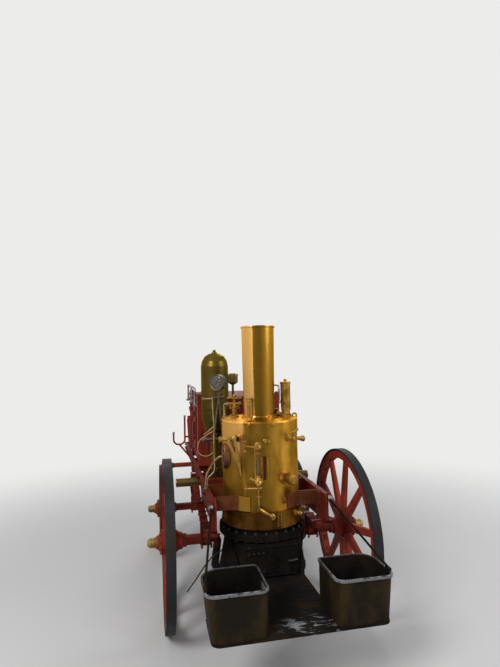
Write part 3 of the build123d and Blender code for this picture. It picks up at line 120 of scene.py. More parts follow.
class Nodes:
    """A short way to build a material's node tree."""

    def __init__(self, name):
        self.material = bpy.data.materials.new(name)
        self.material.use_nodes = True
        self.tree = self.material.node_tree
        self.shader = self.tree.nodes["Principled BSDF"]
        self.where = self.add("TexCoord").outputs["Object"]

    def add(self, kind, inputs=(), **settings):
        return add_node(self.tree, f"ShaderNode{kind}", inputs, **settings)

    def noise(self, scale, detail=6.0, rough=0.6, stretch=None, warp=0.0):
        where = self.where
        if stretch:
            where = self.add("Mapping", {"Scale": stretch, "Vector": where}).outputs["Vector"]
        inputs = {"Scale": scale, "Detail": detail, "Roughness": rough, "Distortion": warp, "Vector": where}
        return Wire(self.tree, self.add("TexNoise", inputs).outputs["Fac"])

    def blend(self, factor, a, b):
        a, b = ((*c, 1.0) if isinstance(c, tuple) else c for c in (a, b))
        return Wire(self.tree, self.add("Mix", {"Factor": factor, 6: a, 7: b}, data_type="RGBA").outputs[2])

    def axis(self, index):
        return Wire(self.tree, self.add("SeparateXYZ", {0: self.where}).outputs[index])

    def spot(self, centre, reach):
        """1 at a place on the piece and 0 a reach away from it."""
        value = self.where
        for kind, other in (("SUBTRACT", centre), ("DIVIDE", reach)):
            value = self.add("VectorMath", {0: value, 1: other}, operation=kind).outputs[0]
        value = self.add("VectorMath", {0: value}, operation="LENGTH").outputs["Value"]
        return Wire(self.tree, value).ramp(0.3, 1.0, 1.0, 0.0)

    def bump(self, height, strength, distance=0.002):
        inputs = {"Strength": strength, "Distance": distance, "Height": height}
        self.tree.links.new(self.add("Bump", inputs).outputs["Normal"], self.shader.inputs["Normal"])

    def finish(self, color, rough=None, metallic=0.0, coat=0.0, specular=None, tint=None):
        """Wire the shader up; rough is a value and the two roughnesses that it leads to."""
        inputs = self.shader.inputs
        self.tree.links.new(color.socket, inputs["Base Color"])
        if rough:
            self.tree.links.new(rough[0].ramp(0.3, 0.7, *rough[1:]).socket, inputs["Roughness"])
        inputs["Metallic"].default_value = metallic
        if coat:
            inputs["Coat Weight"].default_value = coat
            inputs["Coat Roughness"].default_value = 0.25
        if specular is not None:
            inputs["Specular IOR Level"].default_value = specular
        if tint:
            inputs["Specular Tint"].default_value = tint
        return self.material


# Materials

def shade(color, share):
    return tuple(share * c for c in color)


def worn_paint(name, base, dark, chip, rough=(0.35, 0.6), metallic=0.0, coat=0.0, chips=0.66, patch=5.0):
    """Paint that has faded in patches and chipped down to what lies under it."""
    n = Nodes(name)
    color = n.blend(n.noise(patch, 8).ramp(0.35, 0.68), base, dark)
    fine = n.noise(38.0, 10, 0.7)
    grit = fine.ramp(chips, chips + 0.05)
    n.bump(fine * 0.5 + grit * -0.6, 0.25, 0.0015)
    tint = BRASS_SHINE if metallic > 0.5 else None
    return n.finish(n.blend(grit, color, chip), (n.noise(14.0, 5), *rough), metallic, coat, 0.13, tint)


def painted_light_bands(n, color, dark, pale, low, high, floor):
    """Paint light onto a turned piece: a band of angles is darkened as a painted reflection, and the strip left of it
    is painted shade below a height and a painted highlight above it.
    """
    turn = n.axis(0).math("ARCTAN2", BOILER * MM - n.axis(1))
    ragged = turn + (n.noise(9.0, 8, 0.7) - 0.5) * 0.22
    painted_dark_band = ragged.ramp(low - 0.05, low + 0.05) * ragged.ramp(high - 0.35, high + 0.25, 1.0, 0.0)
    # Painted reflection: the band of angles goes dark
    color = n.blend(painted_dark_band * 0.80, color, dark)
    edge = ragged.ramp(low - 0.06, low + 0.02, 1.0, 0.0) * ragged.ramp(-2.2, -1.6)
    height = n.axis(2)
    # Painted shade on the left strip below the height, and a painted highlight on it above
    color = n.blend(edge * height.ramp(floor, floor + 0.14, 0.55, 0.0), color, dark)
    return n.blend(edge * height.ramp(floor, floor + 0.14, 0.0, 0.82), color, pale)


def gold_boiler(name, base, dark, rust):
    """Gold paint on riveted plate, streaked downwards and rusty under the unions."""
    n = Nodes(name)
    streak, patch, fine = n.noise(3.2, 8, 0.62, (5.0, 5.0, 0.7)), n.noise(6.0, 9, 0.6), n.noise(60.0, 8, 0.65)
    color = n.blend(streak.ramp(0.42, 0.68), base, dark)
    color = n.blend(patch.ramp(0.52, 0.74), color, shade(dark, 0.8))
    # Painted reflection and highlight: a dark band round the shell and a pale strip down its left side
    color = painted_light_bands(n, color, (0.125, 0.066, 0.008), (0.90, 0.485, 0.140), -0.62, 0.20, 1.04)
    height, y = n.axis(2), BOILER * MM
    wet = height.ramp(0.70, 0.86, 1.0, 0.0) * streak.ramp(0.46, 0.62)
    under = n.spot((0.115, y - 0.23, 0.84), (0.07, 0.09, 0.13)) * patch.ramp(0.36, 0.55)
    drip = n.spot((-0.03, y - 0.25, 0.78), (0.05, 0.06, 0.12)) * patch.ramp(0.4, 0.6)
    stain = (wet * 0.55).math("MAXIMUM", under.math("MAXIMUM", drip * 0.6))
    color = n.blend(stain, color, rust)
    color = n.blend(height.ramp(0.764, 0.772, 1.0, 0.0) * 0.72, color, (0.060, 0.024, 0.006))
    color = n.blend(fine.ramp(0.67, 0.72) * 0.7, color, rust)
    n.bump(patch + fine * 0.35, 0.22, 0.003)
    return n.finish(color, (patch, 0.28, 0.46), 0.88, tint=GOLD_SHINE)


def gold_chimney(name, base, dark, chip):
    """Gold paint, with a painted dark reflection down one side and a painted highlight along its left edge."""
    n = Nodes(name)
    streak, fine = n.noise(2.6, 8, 0.6, (4.0, 4.0, 0.6)), n.noise(42.0, 10, 0.7)
    color = n.blend(streak.ramp(0.40, 0.70), base, dark)
    # Painted reflection down one side and a painted highlight along the left edge
    color = painted_light_bands(n, color, (0.110, 0.058, 0.006), (0.92, 0.520, 0.160), -0.52, 0.18, 1.0)
    n.bump(streak + fine * 0.4, 0.12)
    return n.finish(n.blend(fine.ramp(0.72, 0.77), color, chip), (streak, 0.26, 0.40), 0.88, tint=GOLD_SHINE)


def bare_metal(name, base, dark, rough=(0.25, 0.5), metallic=1.0):
    """Metal that has dulled in patches, with small pits."""
    n = Nodes(name)
    patch, pits = n.noise(9.0, 8), n.noise(70.0, 8, 0.7)
    color = n.blend(patch.ramp(0.38, 0.66), base, dark)
    n.bump(pits, 0.18, 0.001)
    return n.finish(n.blend(pits.ramp(0.64, 0.70), color, shade(dark, 0.45)), (patch, *rough), metallic)


def sooty_iron(name, base, brown, rust):
    """Black iron with patches of soot and ash and specks of rust."""
    n = Nodes(name)
    patch, fine = n.noise(7.0, 9, 0.65), n.noise(45.0, 9, 0.7)
    color = n.blend(patch.ramp(0.44, 0.66), base, brown)
    n.bump(patch + fine, 0.3)
    return n.finish(n.blend(fine.ramp(0.6, 0.68) * 0.7, color, rust), (fine, 0.6, 0.9), specular=0.05)


def trodden_iron(name, base, brown, bright):
    """Black plate, scraped bright in streaks along its rear edge."""
    n = Nodes(name)
    patch, streak = n.noise(7.0, 9, 0.65), n.noise(9.0, 12, 0.75, (1.0, 3.2, 1.0), 0.8)
    color = n.blend(patch.ramp(0.44, 0.66), base, brown)
    edge = n.spot((0.060, (REAR - 930) * MM, 0.385), (0.230, 0.160, 0.060))
    n.bump(patch + streak, 0.25)
    return n.finish(n.blend(streak.ramp(0.53, 0.60) * edge, color, bright), (streak, 0.5, 0.8), specular=0.06)


def saddle_paint(name, base, dark, gold):
    """Brown-red paint; the left saddle is overpainted gold where it wraps the shell."""
    n = Nodes(name)
    patch, across = n.noise(8.0, 9, 0.65), n.axis(0)
    color = n.blend(patch.ramp(0.38, 0.66), base, dark)
    left = (across + (patch - 0.5) * 0.03).ramp(-0.190, -0.184) * across.ramp(-0.02, 0.0, 1.0, 0.0)
    n.bump(patch, 0.2)
    return n.finish(n.blend(left, color, shade(gold, 0.62)), (patch, 0.42, 0.64), specular=0.14)


def axle_paint(name, base, dark, painted_shade):
    """Red arms, with painted shade below them: black towards the bottom."""
    n = Nodes(name)
    patch = n.noise(6.0, 8)
    color = n.blend(patch.ramp(0.38, 0.66), base, dark)
    # Painted shade: the axle goes black below the arms
    low = (n.axis(2) + (patch - 0.5) * 0.05).ramp(0.455, 0.500, 1.0, 0.0)
    n.bump(patch, 0.2)
    return n.finish(n.blend(low, color, painted_shade), (patch, 0.45, 0.66), specular=0.12)


def bunker_iron(name, base, brown, bright):
    """Black sheet iron whose top bead is worn bright, and brighter on the near side as a painted highlight."""
    n = Nodes(name)
    patch, fine = n.noise(6.0, 9, 0.65, (1.0, 1.0, 0.5)), n.noise(50.0, 9, 0.7)
    color = n.blend(patch.ramp(0.42, 0.68), base, brown)
    # Painted highlight: the near side of the bunkers is brighter
    near = n.axis(1).ramp((REAR - 940) * MM, (REAR - 860) * MM, 1.0, 0.18)
    edge = n.axis(2).ramp(0.597, 0.601) * near * (fine + patch * 0.4).ramp(0.5, 0.72)
    n.bump(patch + fine, 0.25)
    return n.finish(n.blend(edge, color, bright), (fine, 0.45, 0.75), specular=0.09)


def rim_bead(name, bright, dark):
    """A bead, black with bright worn spots that grow brighter at the near side of the bunkers as a painted highlight.
    """
    n = Nodes(name)
    fine = n.noise(38.0, 9, 0.7)
    # Painted highlight: the worn spots are brighter at the near side
    near = n.axis(1).ramp((REAR - 950) * MM, (REAR - 800) * MM, 1.0, 0.35)
    n.bump(fine, 0.2, 0.001)
    return n.finish(n.blend(near * fine.ramp(0.40, 0.56), dark, bright), (fine, 0.55, 0.32), 0.35, specular=0.3)


def timber(name, base, dark):
    """Varnished planks with their grain along X."""
    n = Nodes(name)
    grain = n.noise(5.0, 10, 0.65, (1.2, 14.0, 14.0), 0.4)
    n.bump(grain, 0.2, 0.001)
    return n.finish(n.blend(grain.ramp(0.35, 0.65), base, dark), (grain, 0.4, 0.6), 0.0, 0.2)


def leather(name, base, dark):
    """Padded leather with fine creases."""
    n = Nodes(name)
    patch = n.noise(12.0, 6)
    cell = n.add("TexVoronoi", {"Scale": 240.0, "Vector": n.where})
    n.bump(cell.outputs["Distance"], 0.25, 0.0008)
    return n.finish(n.blend(patch.ramp(0.35, 0.7), base, dark), (patch, 0.5, 0.7), specular=0.25)


def clear_glass(name):
    n = Nodes(name)
    n.shader.inputs["Roughness"].default_value = 0.08
    n.shader.inputs["Alpha"].default_value = 0.22
    return n.finish(n.blend(n.noise(30.0, 4).ramp(0.3, 0.7), (0.16, 0.17, 0.13), (0.10, 0.10, 0.07)))


M = {}


def make_materials(props):
    gold, red, brass, cream, hide = (tuple(getattr(props, k)) for k in ("gold", "red", "brass", "cream", "leather"))
    shell = shade(gold, 1.55)
    # key: name, base, dark, chip, roughness, metallic, coat, chips, patch
    paints = {
        "gold": ("fitting_gold", (0.47, 0.270, 0.055), (0.165, 0.082, 0.016), (0.085, 0.038, 0.010),
                 (0.28, 0.45), 0.7, 0.0, 0.62, 15.0),
        "olive": ("tarnished_brass", (0.13, 0.088, 0.026), (0.060, 0.042, 0.018), (0.04, 0.03, 0.018),
                  (0.30, 0.5), 0.75, 0.1, 0.67, 7.0),
        "vessel": ("vessel_olive", (0.125, 0.083, 0.014), (0.066, 0.048, 0.010), (0.04, 0.03, 0.012),
                   (0.28, 0.42), 0.85, 0.0, 0.74, 2.5),
        "red": ("weathered_red", red, shade(red, 0.50), (0.060, 0.026, 0.018), (0.42, 0.66), 0.0, 0.0, 0.64),
        "body": ("body_red", shade(red, 0.72), shade(red, 0.40), (0.05, 0.018, 0.010),
                 (0.50, 0.70), 0.0, 0.0, 0.68, 3.0),
        "maroon": ("frame_maroon", shade(red, 0.56), shade(red, 0.30), (0.04, 0.020, 0.012),
                   (0.42, 0.68), 0.0, 0.0, 0.65),
        "dark_red": ("strip_red", (0.060, 0.011, 0.004), (0.036, 0.008, 0.003), (0.03, 0.014, 0.007),
                     (0.4, 0.6), 0.0, 0.0, 0.68),
        "tyre": ("tyre_iron", (0.020, 0.023, 0.028), (0.020, 0.016, 0.012), (0.030, 0.018, 0.012),
                 (0.48, 0.66), 0.15, 0.0, 0.66, 9.0),
        "cream": ("pipe_cream", cream, (0.20, 0.125, 0.050), (0.10, 0.055, 0.025), (0.34, 0.55), 0.2, 0.0, 0.64, 12.0),
        "dial": ("dial_enamel", (0.185, 0.165, 0.130), (0.120, 0.102, 0.078), (0.08, 0.06, 0.04),
                 (0.30, 0.45), 0.0, 0.2, 0.74),
        "black": ("dial_black", (0.01, 0.01, 0.01), (0.02, 0.018, 0.016), (0.04, 0.03, 0.02), (0.4, 0.6)),
    }
    metals = {
        "copper": ("plate_copper", (0.175, 0.080, 0.032), (0.080, 0.036, 0.016), (0.38, 0.6), 0.7),
        "brass": ("cap_brass", brass, (0.17, 0.11, 0.04), (0.28, 0.5)),
        "steel": ("bright_steel", (0.36, 0.345, 0.32), (0.17, 0.15, 0.13)),
        "gauge": ("gauge_case", (0.150, 0.125, 0.090), (0.075, 0.058, 0.040), (0.32, 0.52), 0.8),
        "black_iron": ("black_iron", (0.020, 0.017, 0.015), (0.012, 0.009, 0.007), (0.5, 0.7), 0.2),
    }
    M.update({key: worn_paint(*paint) for key, paint in paints.items()})
    M.update({key: bare_metal(*metal) for key, metal in metals.items()})
    M.update(
        boiler=gold_boiler("boiler_gold", shell, shade(shell, 0.55), (0.115, 0.036, 0.006)),
        chimney=gold_chimney("chimney_gold", gold, shade(gold, 0.66), (0.10, 0.045, 0.012)),
        saddle=saddle_paint("saddle_brown", (0.150, 0.040, 0.013), (0.080, 0.021, 0.008), gold),
        # The axle's last colour is the painted shade below its arms
        axle=axle_paint("axle_red", shade(red, 0.66), shade(red, 0.36), (0.012, 0.008, 0.006)),
        # Bead: worn spots, brighter at the near side as a painted highlight
        bright_bead=rim_bead("bead_wear_and_highlight", (0.19, 0.195, 0.20), (0.014, 0.012, 0.010)),
        soot=sooty_iron("sooty_iron", (0.0052, 0.0048, 0.0042), (0.013, 0.009, 0.006), (0.034, 0.017, 0.008)),
        plate=trodden_iron("trodden_iron", (0.0060, 0.0052, 0.0045), (0.018, 0.011, 0.007), (0.26, 0.27, 0.28)),
        bunker=bunker_iron("bunker_iron", (0.0085, 0.0062, 0.0032), (0.030, 0.018, 0.005), (0.15, 0.15, 0.155)),
        wood=timber("seat_timber", (0.16, 0.066, 0.024), (0.07, 0.028, 0.012)),
        leather=leather("seat_leather", hide, (0.012, 0.008, 0.006)),
        glass=clear_glass("gauge_glass"))


# Shapes

def circle(count):
    return [2 * pi * k / count for k in range(count)]


def lathe(profile, origin, axis=UP, count=32):
    """A turned shape: radius, height, radius, height... along an axis."""
    turn = Vector(axis).to_track_quat("Z", "Y").to_matrix()
    verts, faces, rings = [], [], []
    for r, h in zip(profile[::2], profile[1::2]):
        angles = circle(count) if r else [0.0]
        rings.append(list(range(len(verts), len(verts) + len(angles))))
        verts += [Vector(origin) + turn @ Vector((r * cos(a), r * sin(a), h)) for a in angles]
    for low, high in zip(rings, rings[1:]):
        for k in range(count):
            ring = (low[k % len(low)], low[(k + 1) % len(low)], high[(k + 1) % len(high)], high[k % len(high)])
            face = list(dict.fromkeys(ring))
            if len(face) > 2:
                faces.append(face)
    faces += [ring for ring in (rings[0][::-1], rings[-1]) if len(ring) > 1]
    return verts, faces


def hollow(profile, origin, axis=UP, count=32):
    """A turned ring whose profile closes on itself."""
    verts, faces = lathe(profile, origin, axis, count)
    last = len(verts) - count
    faces[-2:] = [[last + k, last + (k + 1) % count, (k + 1) % count, k] for k in range(count)]
    return verts, faces


def rounded(points, bend, closed=False, steps=5):
    """Points along straight runs whose corners are arcs."""
    points = [Vector(p) for p in points]
    out = []
    for i, p in enumerate(points):
        before, after = points[i - 1] - p, points[(i + 1) % len(points)] - p
        if (not closed and i in (0, len(points) - 1)) or before.angle(after) > radians(179):
            out.append(p)
            continue
        cut = bend / max(0.05, abs(tan(before.angle(after) / 2)))
        cut = min(cut, before.length * 0.48, after.length * 0.48)
        start, end = p + before.normalized() * cut, p + after.normalized() * cut
        for k in range(steps + 1):
            t = k / steps
            out.append((1 - t) ** 2 * start + 2 * t * (1 - t) * p + t * t * end)
    return out


def tube(points, radius, sides=12, closed=False, bend=0.0, flat=1.0):
    """A round or flattened bar along a path."""
    path = rounded(points, bend, closed) if bend else [Vector(p) for p in points]
    count = len(path)
    verts, faces, normal = [], [], None
    for i, p in enumerate(path):
        ahead = path[(i + 1) % count] if closed else path[min(i + 1, count - 1)]
        behind = path[i - 1] if closed else path[max(i - 1, 0)]
        along = (ahead - behind).normalized()
        normal = normal or along.orthogonal().normalized()
        normal = (normal - along * normal.dot(along)).normalized()
        other = along.cross(normal)
        size = radius[i] if isinstance(radius, list) else radius
        verts += [p + normal * (size * cos(a)) + other * (flat * size * sin(a)) for a in circle(sides)]
    for i in range(count if closed else count - 1):
        a, b = i * sides, ((i + 1) % count) * sides
        faces += [[a + k, a + (k + 1) % sides, b + (k + 1) % sides, b + k] for k in range(sides)]
    if not closed:
        faces += [list(range(sides))[::-1], list(range(len(verts) - sides, len(verts)))]
    return verts, faces


def plate(outline, thickness, plane=Matrix.Identity(4), chamfer=0.0):
    """A flat plate: an outline x, y, x, y... in a plane, rising along the plane's Z."""
    corners = [Vector(p) for p in zip(outline[::2], outline[1::2])]
    count = len(corners)
    middle = sum(corners, Vector((0, 0))) / count
    rings = [(0.0, chamfer), (thickness, chamfer)]
    if chamfer:
        rings[1:1] = [(chamfer, 0.0), (thickness - chamfer, 0.0)]
    verts, faces = [], []
    for height, inset in rings:
        for corner in corners:
            away = corner - middle
            spot = middle + away * max(0.0, 1 - inset / max(away.length, 1e-6))
            verts.append(plane @ Vector((*spot, height)))
    for a in range(0, len(verts) - count, count):
        faces += [[a + k, a + (k + 1) % count, a + count + (k + 1) % count, a + count + k] for k in range(count)]
    faces += [list(range(count))[::-1], list(range(len(verts) - count, len(verts)))]
    return verts, faces


def slab(low, high, chamfer=0.0):
    """A box between two corners, with its upright edges cut."""
    (x0, x1), (y0, y1), (z0, z1) = (sorted(pair) for pair in zip(low, high))
    c = chamfer
    outline = (x0 + c, y0, x1 - c, y0, x1, y0 + c, x1, y1 - c, x1 - c, y1, x0 + c, y1, x0, y1 - c, x0, y0 + c)
    return plate(outline, z1 - z0, Matrix.Translation((0, 0, z0)), c * 0.6)


def oblong(x, y):
    return (-x, -y, x, -y, x, y, -x, y)


def facing(origin, out, up=UP):
    """A plane at a point whose Z looks outwards."""
    z = Vector(out).normalized()
    x = Vector(up).cross(z)
    x = x.normalized() if x.length > 1e-6 else Vector((1, 0, 0))
    return Matrix.Translation(origin) @ Matrix((x, z.cross(x), z)).transposed().to_4x4()


def nut(radius, thickness, origin, out, chamfer=1.5, up=UP):
    outline = [c for a in circle(6) for c in (radius * cos(a), radius * sin(a))]
    return plate(outline, thickness, facing(origin, out, up), chamfer)


def on_boiler(angle, z, out=0.0, along=0.0):
    """A point by the boiler's shell and the way out of it; angle 0 faces the rear."""
    way = Vector((sin(radians(angle)), -cos(radians(angle)), 0))
    return Vector((0, BOILER, z)) + way * (SHELL_RADIUS + out) + Vector((-way.y, way.x, 0)) * along, way


def box_mm(name):
    return [Vector(corner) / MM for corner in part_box(name)]


def placed(name, mesh):
    """A new object with this mesh, in the scene."""
    thing = bpy.data.objects.new(name, mesh)
    bpy.context.collection.objects.link(thing)
    return thing


def frozen(thing):
    """The plain mesh of an object as its modifiers leave it; the object goes."""
    made = bpy.data.meshes.new_from_object(thing.evaluated_get(bpy.context.evaluated_depsgraph_get()))
    bpy.data.objects.remove(thing)
    return made


def joined(name, finish, shells, body="carriage", smooth=38):
    """One piece from several closed shells, riding on a body."""
    verts, faces = [], []
    for points, sides in shells:
        faces += [[len(verts) + i for i in side] for side in sides]
        verts += [tuple(Vector(p) * MM) for p in points]
    mesh = bpy.data.meshes.new(name)
    mesh.from_pydata(verts, [], faces)
    mesh.validate()
    mesh.shade_smooth()
    mesh.set_sharp_from_angle(angle=radians(smooth))
    mesh.materials.append(M[finish])
    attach(placed(name, mesh), body)


# Repeated fastenings

def fastening_tree(kind):
    """Geometry Nodes that put a rivet or a bolt at each point, facing its own way."""
    name = f"{kind} at each point"
    if name in bpy.data.node_groups:
        return bpy.data.node_groups[name]
    tree = bpy.data.node_groups.new(name, "GeometryNodeTree")
    for label, form in (("Geometry", "Geometry"), ("Head radius", "Float"), ("Head height", "Float"),
                        ("Finish", "Material")):
        tree.interface.new_socket(label, in_out="INPUT", socket_type=f"NodeSocket{form}")
    tree.interface.new_socket("Geometry", in_out="OUTPUT", socket_type="NodeSocketGeometry")

    def add(node, inputs=(), **settings):
        return add_node(tree, node, inputs, **settings).outputs

    def cone(sides, low, high, depth):
        sizes = {"Vertices": sides, "Radius Bottom": low, "Radius Top": high, "Depth": depth}
        return add("GeometryNodeMeshCone", sizes)["Mesh"]

    start = add("NodeGroupInput")
    if kind == "rivet":
        made = add("GeometryNodeMeshUVSphere", {"Segments": 8, "Rings": 5})["Mesh"]
    else:
        both = add_node(tree, "GeometryNodeJoinGeometry")
        for shape in (cone(6, 1.0, 0.93, 1.0), cone(8, 0.5, 0.42, 1.7)):
            tree.links.new(shape, both.inputs[0])
        made = both.outputs[0]
    radius, height = start["Head radius"], start["Head height"]
    size = add("ShaderNodeCombineXYZ", {0: radius, 1: radius, 2: height})[0]
    made = add("GeometryNodeTransform", {"Geometry": made, "Scale": size})["Geometry"]
    way = add("GeometryNodeInputNamedAttribute", {"Name": "facing"}, data_type="FLOAT_VECTOR")["Attribute"]
    turn = add("FunctionNodeAlignRotationToVector", {"Vector": way}, axis="Z")["Rotation"]
    scale = add("GeometryNodeInputNamedAttribute", {"Name": "size"}, data_type="FLOAT")["Attribute"]
    made = add("GeometryNodeInstanceOnPoints", {"Points": start["Geometry"], "Instance": made,
                                                "Rotation": turn, "Scale": scale})["Instances"]
    made = add("GeometryNodeRealizeInstances", {"Geometry": made})["Geometry"]
    made = add("GeometryNodeSetMaterial", {"Geometry": made, "Material": start["Finish"]})["Geometry"]
    add("NodeGroupOutput", {"Geometry": made})
    return tree


def fastenings(name, finish, kind, places, radius, height, body="carriage"):
    """Rivets or bolts at (point, way out, size) places, as one piece of one body."""
    mesh = bpy.data.meshes.new(f"{name}_places")
    mesh.from_pydata([tuple(Vector(p) * MM) for p, way, size in places], [], [])
    ways = [c for p, way, size in places for c in Vector(way).normalized()]
    mesh.attributes.new("facing", "FLOAT_VECTOR", "POINT").data.foreach_set("vector", ways)
    mesh.attributes.new("size", "FLOAT", "POINT").data.foreach_set("value", [place[2] for place in places])
    holder = placed(f"{name}_places", mesh)
    modifier = holder.modifiers.new("fastenings", "NODES")
    modifier.node_group = fastening_tree(kind)
    scale = MM * getattr(bpy.context.scene.engine_sizes, kind)
    values = {"Head radius": radius * scale, "Head height": height * scale, "Finish": M[finish]}
    for item in modifier.node_group.interface.items_tree:
        if item.name in values:
            modifier[item.identifier] = values[item.name]
    made = frozen(holder)
    made.name = name
    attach(placed(name, made), body)


def ring_of(centre, way, radius, count, size=1.0, start=0.0, outwards=False):
    """Places round a circle, facing along its axis or outwards."""
    turn = Vector(way).to_track_quat("Z", "Y").to_matrix()
    places = []
    for angle in circle(count):
        angle += radians(start)
        arm = turn @ Vector((cos(angle), sin(angle), 0))
        places.append((Vector(centre) + arm * radius, arm if outwards else way, size))
    return places


# Settings

def paint_property(name, description, default):
    return bpy.props.FloatVectorProperty(name=name, description=description, subtype="COLOR", size=3, min=0.0,
                                         max=1.0, default=default)


def length_property(name, description, default):
    return bpy.props.FloatProperty(name=name, description=description, subtype="DISTANCE", unit="LENGTH",
                                   min=0.001, max=0.02, default=default)


def share_property(name, description, default):
    return bpy.props.FloatProperty(name=name, description=description, subtype="FACTOR", min=0.0, max=2.0,
                                   default=default)


class EngineFinish(bpy.types.PropertyGroup):
    gold: paint_property("Gold paint", "Colour of the boiler and chimney", (0.400, 0.205, 0.022))
    red: paint_property("Red paint", "Colour of the wheels, frame and body", (0.270, 0.032, 0.015))
    brass: paint_property("Brass", "Colour of the hub caps and bright fittings", (0.36, 0.245, 0.085))
    cream: paint_property("Pipe paint", "Colour of the small pipes", (0.42, 0.30, 0.15))
    leather: paint_property("Leather", "Colour of the seat's cushion", (0.030, 0.017, 0.012))


class EngineSizes(bpy.types.PropertyGroup):
    rivet: share_property("Rivets", "Size of the rivet heads against the built size", 1.0)
    bolt: share_property("Bolts", "Size of the bolts and nuts against the built size", 1.0)
    moulding: length_property("Moulding", "Half the width of the body's mouldings", 0.0042)
    bunker_bead: length_property("Bunker bead", "Radius of the bead round the bunkers", 0.0041)
    warming_pipe: length_property("Warming pipe", "Radius of the pipe from the stop valve", 0.0080)
    drain_pipe: length_property("Drain pipe", "Radius of the pipe from the shell's left side", 0.0065)


class EngineStage(bpy.types.PropertyGroup):
    floor_shade: share_property("Floor shade", "How pale the studio floor is", 0.56)
    key_power: bpy.props.FloatProperty(
        name="Key light", description="Power of the main soft light", subtype="POWER", unit="POWER", min=0.0,
        default=520.0)


# Finishes

FINISHES = {
    "boiler": "boiler_shell",
    "chimney": "chimney",
    "saddle": "boiler_saddles",
    "gold": "boiler_valves boiler_fittings steam_pipe",
    "olive": "pump_body suction_inlet delivery_pipe steam_cylinders",
    "vessel": "air_vessel",
    "gauge": "pressure_gauge",
    "copper": "hand_hole_plate",
    "maroon": "frame_sides frame_cross_members rear_springs front_springs spring_hangers upper_turntable "
              "lower_turntable pole_socket front_axle",
    "axle": "rear_axle",
    "body": "hose_box hose_box_lid driver_seat footboard",
    "soot": "firebox_casing fire_grate ash_pan fire_door footplate_stays",
    "plate": "footplate",
    "bunker": "bunkers",
    "steel": "engine_columns piston_rod_left piston_rod_right hand_rails",
    "leather": "seat_cushion",
    "black_iron": "seat_rail",
    "red": "splinter_bar hose_crutches " + " ".join(WHEELS),
    "glass": "water_gauge_glass",
    "tyre": " ".join(name.replace("wheel", "tyre") for name in WHEELS),
    "brass": " ".join(name.replace("wheel", "hub_cap") for name in WHEELS),
}


class FIRE_OT_finishes(bpy.types.Operator):
    """Give every CAD node its material"""
    bl_idname = "fire.finishes"
    bl_label = "Finish the frame"

    def execute(self, context):
        make_materials(context.scene.engine_finish)
        finish_of = {name: finish for finish, names in FINISHES.items() for name in names.split()}
        for name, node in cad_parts.items():
            for slot in node.material_slots:
                slot.material = M[finish_of[name]]
        return {"FINISHED"}


# Wheels

def wheel_place(name):
    """A wheel's centre, the way out of the engine, and its radius."""
    low, high = box_mm(name.replace("wheel", "tyre"))
    centre = (low + high) / 2
    return centre, Vector((1 if centre.x > 0 else -1, 0, 0)), (high.z - low.z) / 2


def spoke_way(place):
    angle = radians(SPOKE_START + 360 / SPOKES * place)
    return Vector((0, cos(angle), sin(angle)))


class FIRE_OT_wheels(bpy.types.Operator):
    """Add nave hoops, flange plates, felloe clips and bolts to each wheel"""
    bl_idname = "fire.wheels"
    bl_label = "Wheel irons"

    def execute(self, context):
        tyre, felloe = 14.3, 50.0
        for name in WHEELS:
            centre, out, radius = wheel_place(name)
            hoops = [(73.5, z, 77.5, z, 77.5, z + 14, 73.5, z + 14) for z in (-50, 14)]
            hoops.append((45, 52, 69, 37.5, 78, 37.5, 78, 42.5, 70, 43.5, 50, 60.5, 45, 60.5))
            joined(f"{name}_hoops", "maroon", [hollow(hoop, centre, out, 40) for hoop in hoops], name)
            rings = [(30, z, 32.5, z + 2, 32.5, z + 6, 30, z + 8) for z in (86, 106)]
            joined(f"{name}_cap_rings", "brass", [hollow(ring, centre, out) for ring in rings], name)
            inside = radius - tyre - felloe
            clips, bolts = [], ring_of(centre + out * 43, out, 71.5, 10, 1.0, 18)
            for k in range(SPOKES // 2):
                way = spoke_way(2 * k + 0.5)
                spot = centre + way * (inside + 1)
                plane = facing(spot, -way, out) @ Matrix.Rotation(pi / 2, 4, "Z")
                clips.append(plate(oblong(12, 18), 4, plane, 1))
                bolts += [(spot + way.cross(out) * s - way * 4, -way, 0.8) for s in (-9, 9)]
            for k in range(SPOKES):
                way = spoke_way(k + 0.22)
                bolts.append((centre + way * (inside + 0.5), -way, 0.9))
            joined(f"{name}_clips", "maroon", clips, name)
            fastenings(f"{name}_bolts", "maroon", "bolt", bolts, 6.2, 7, name)
        return {"FINISHED"}


# Springs and axles

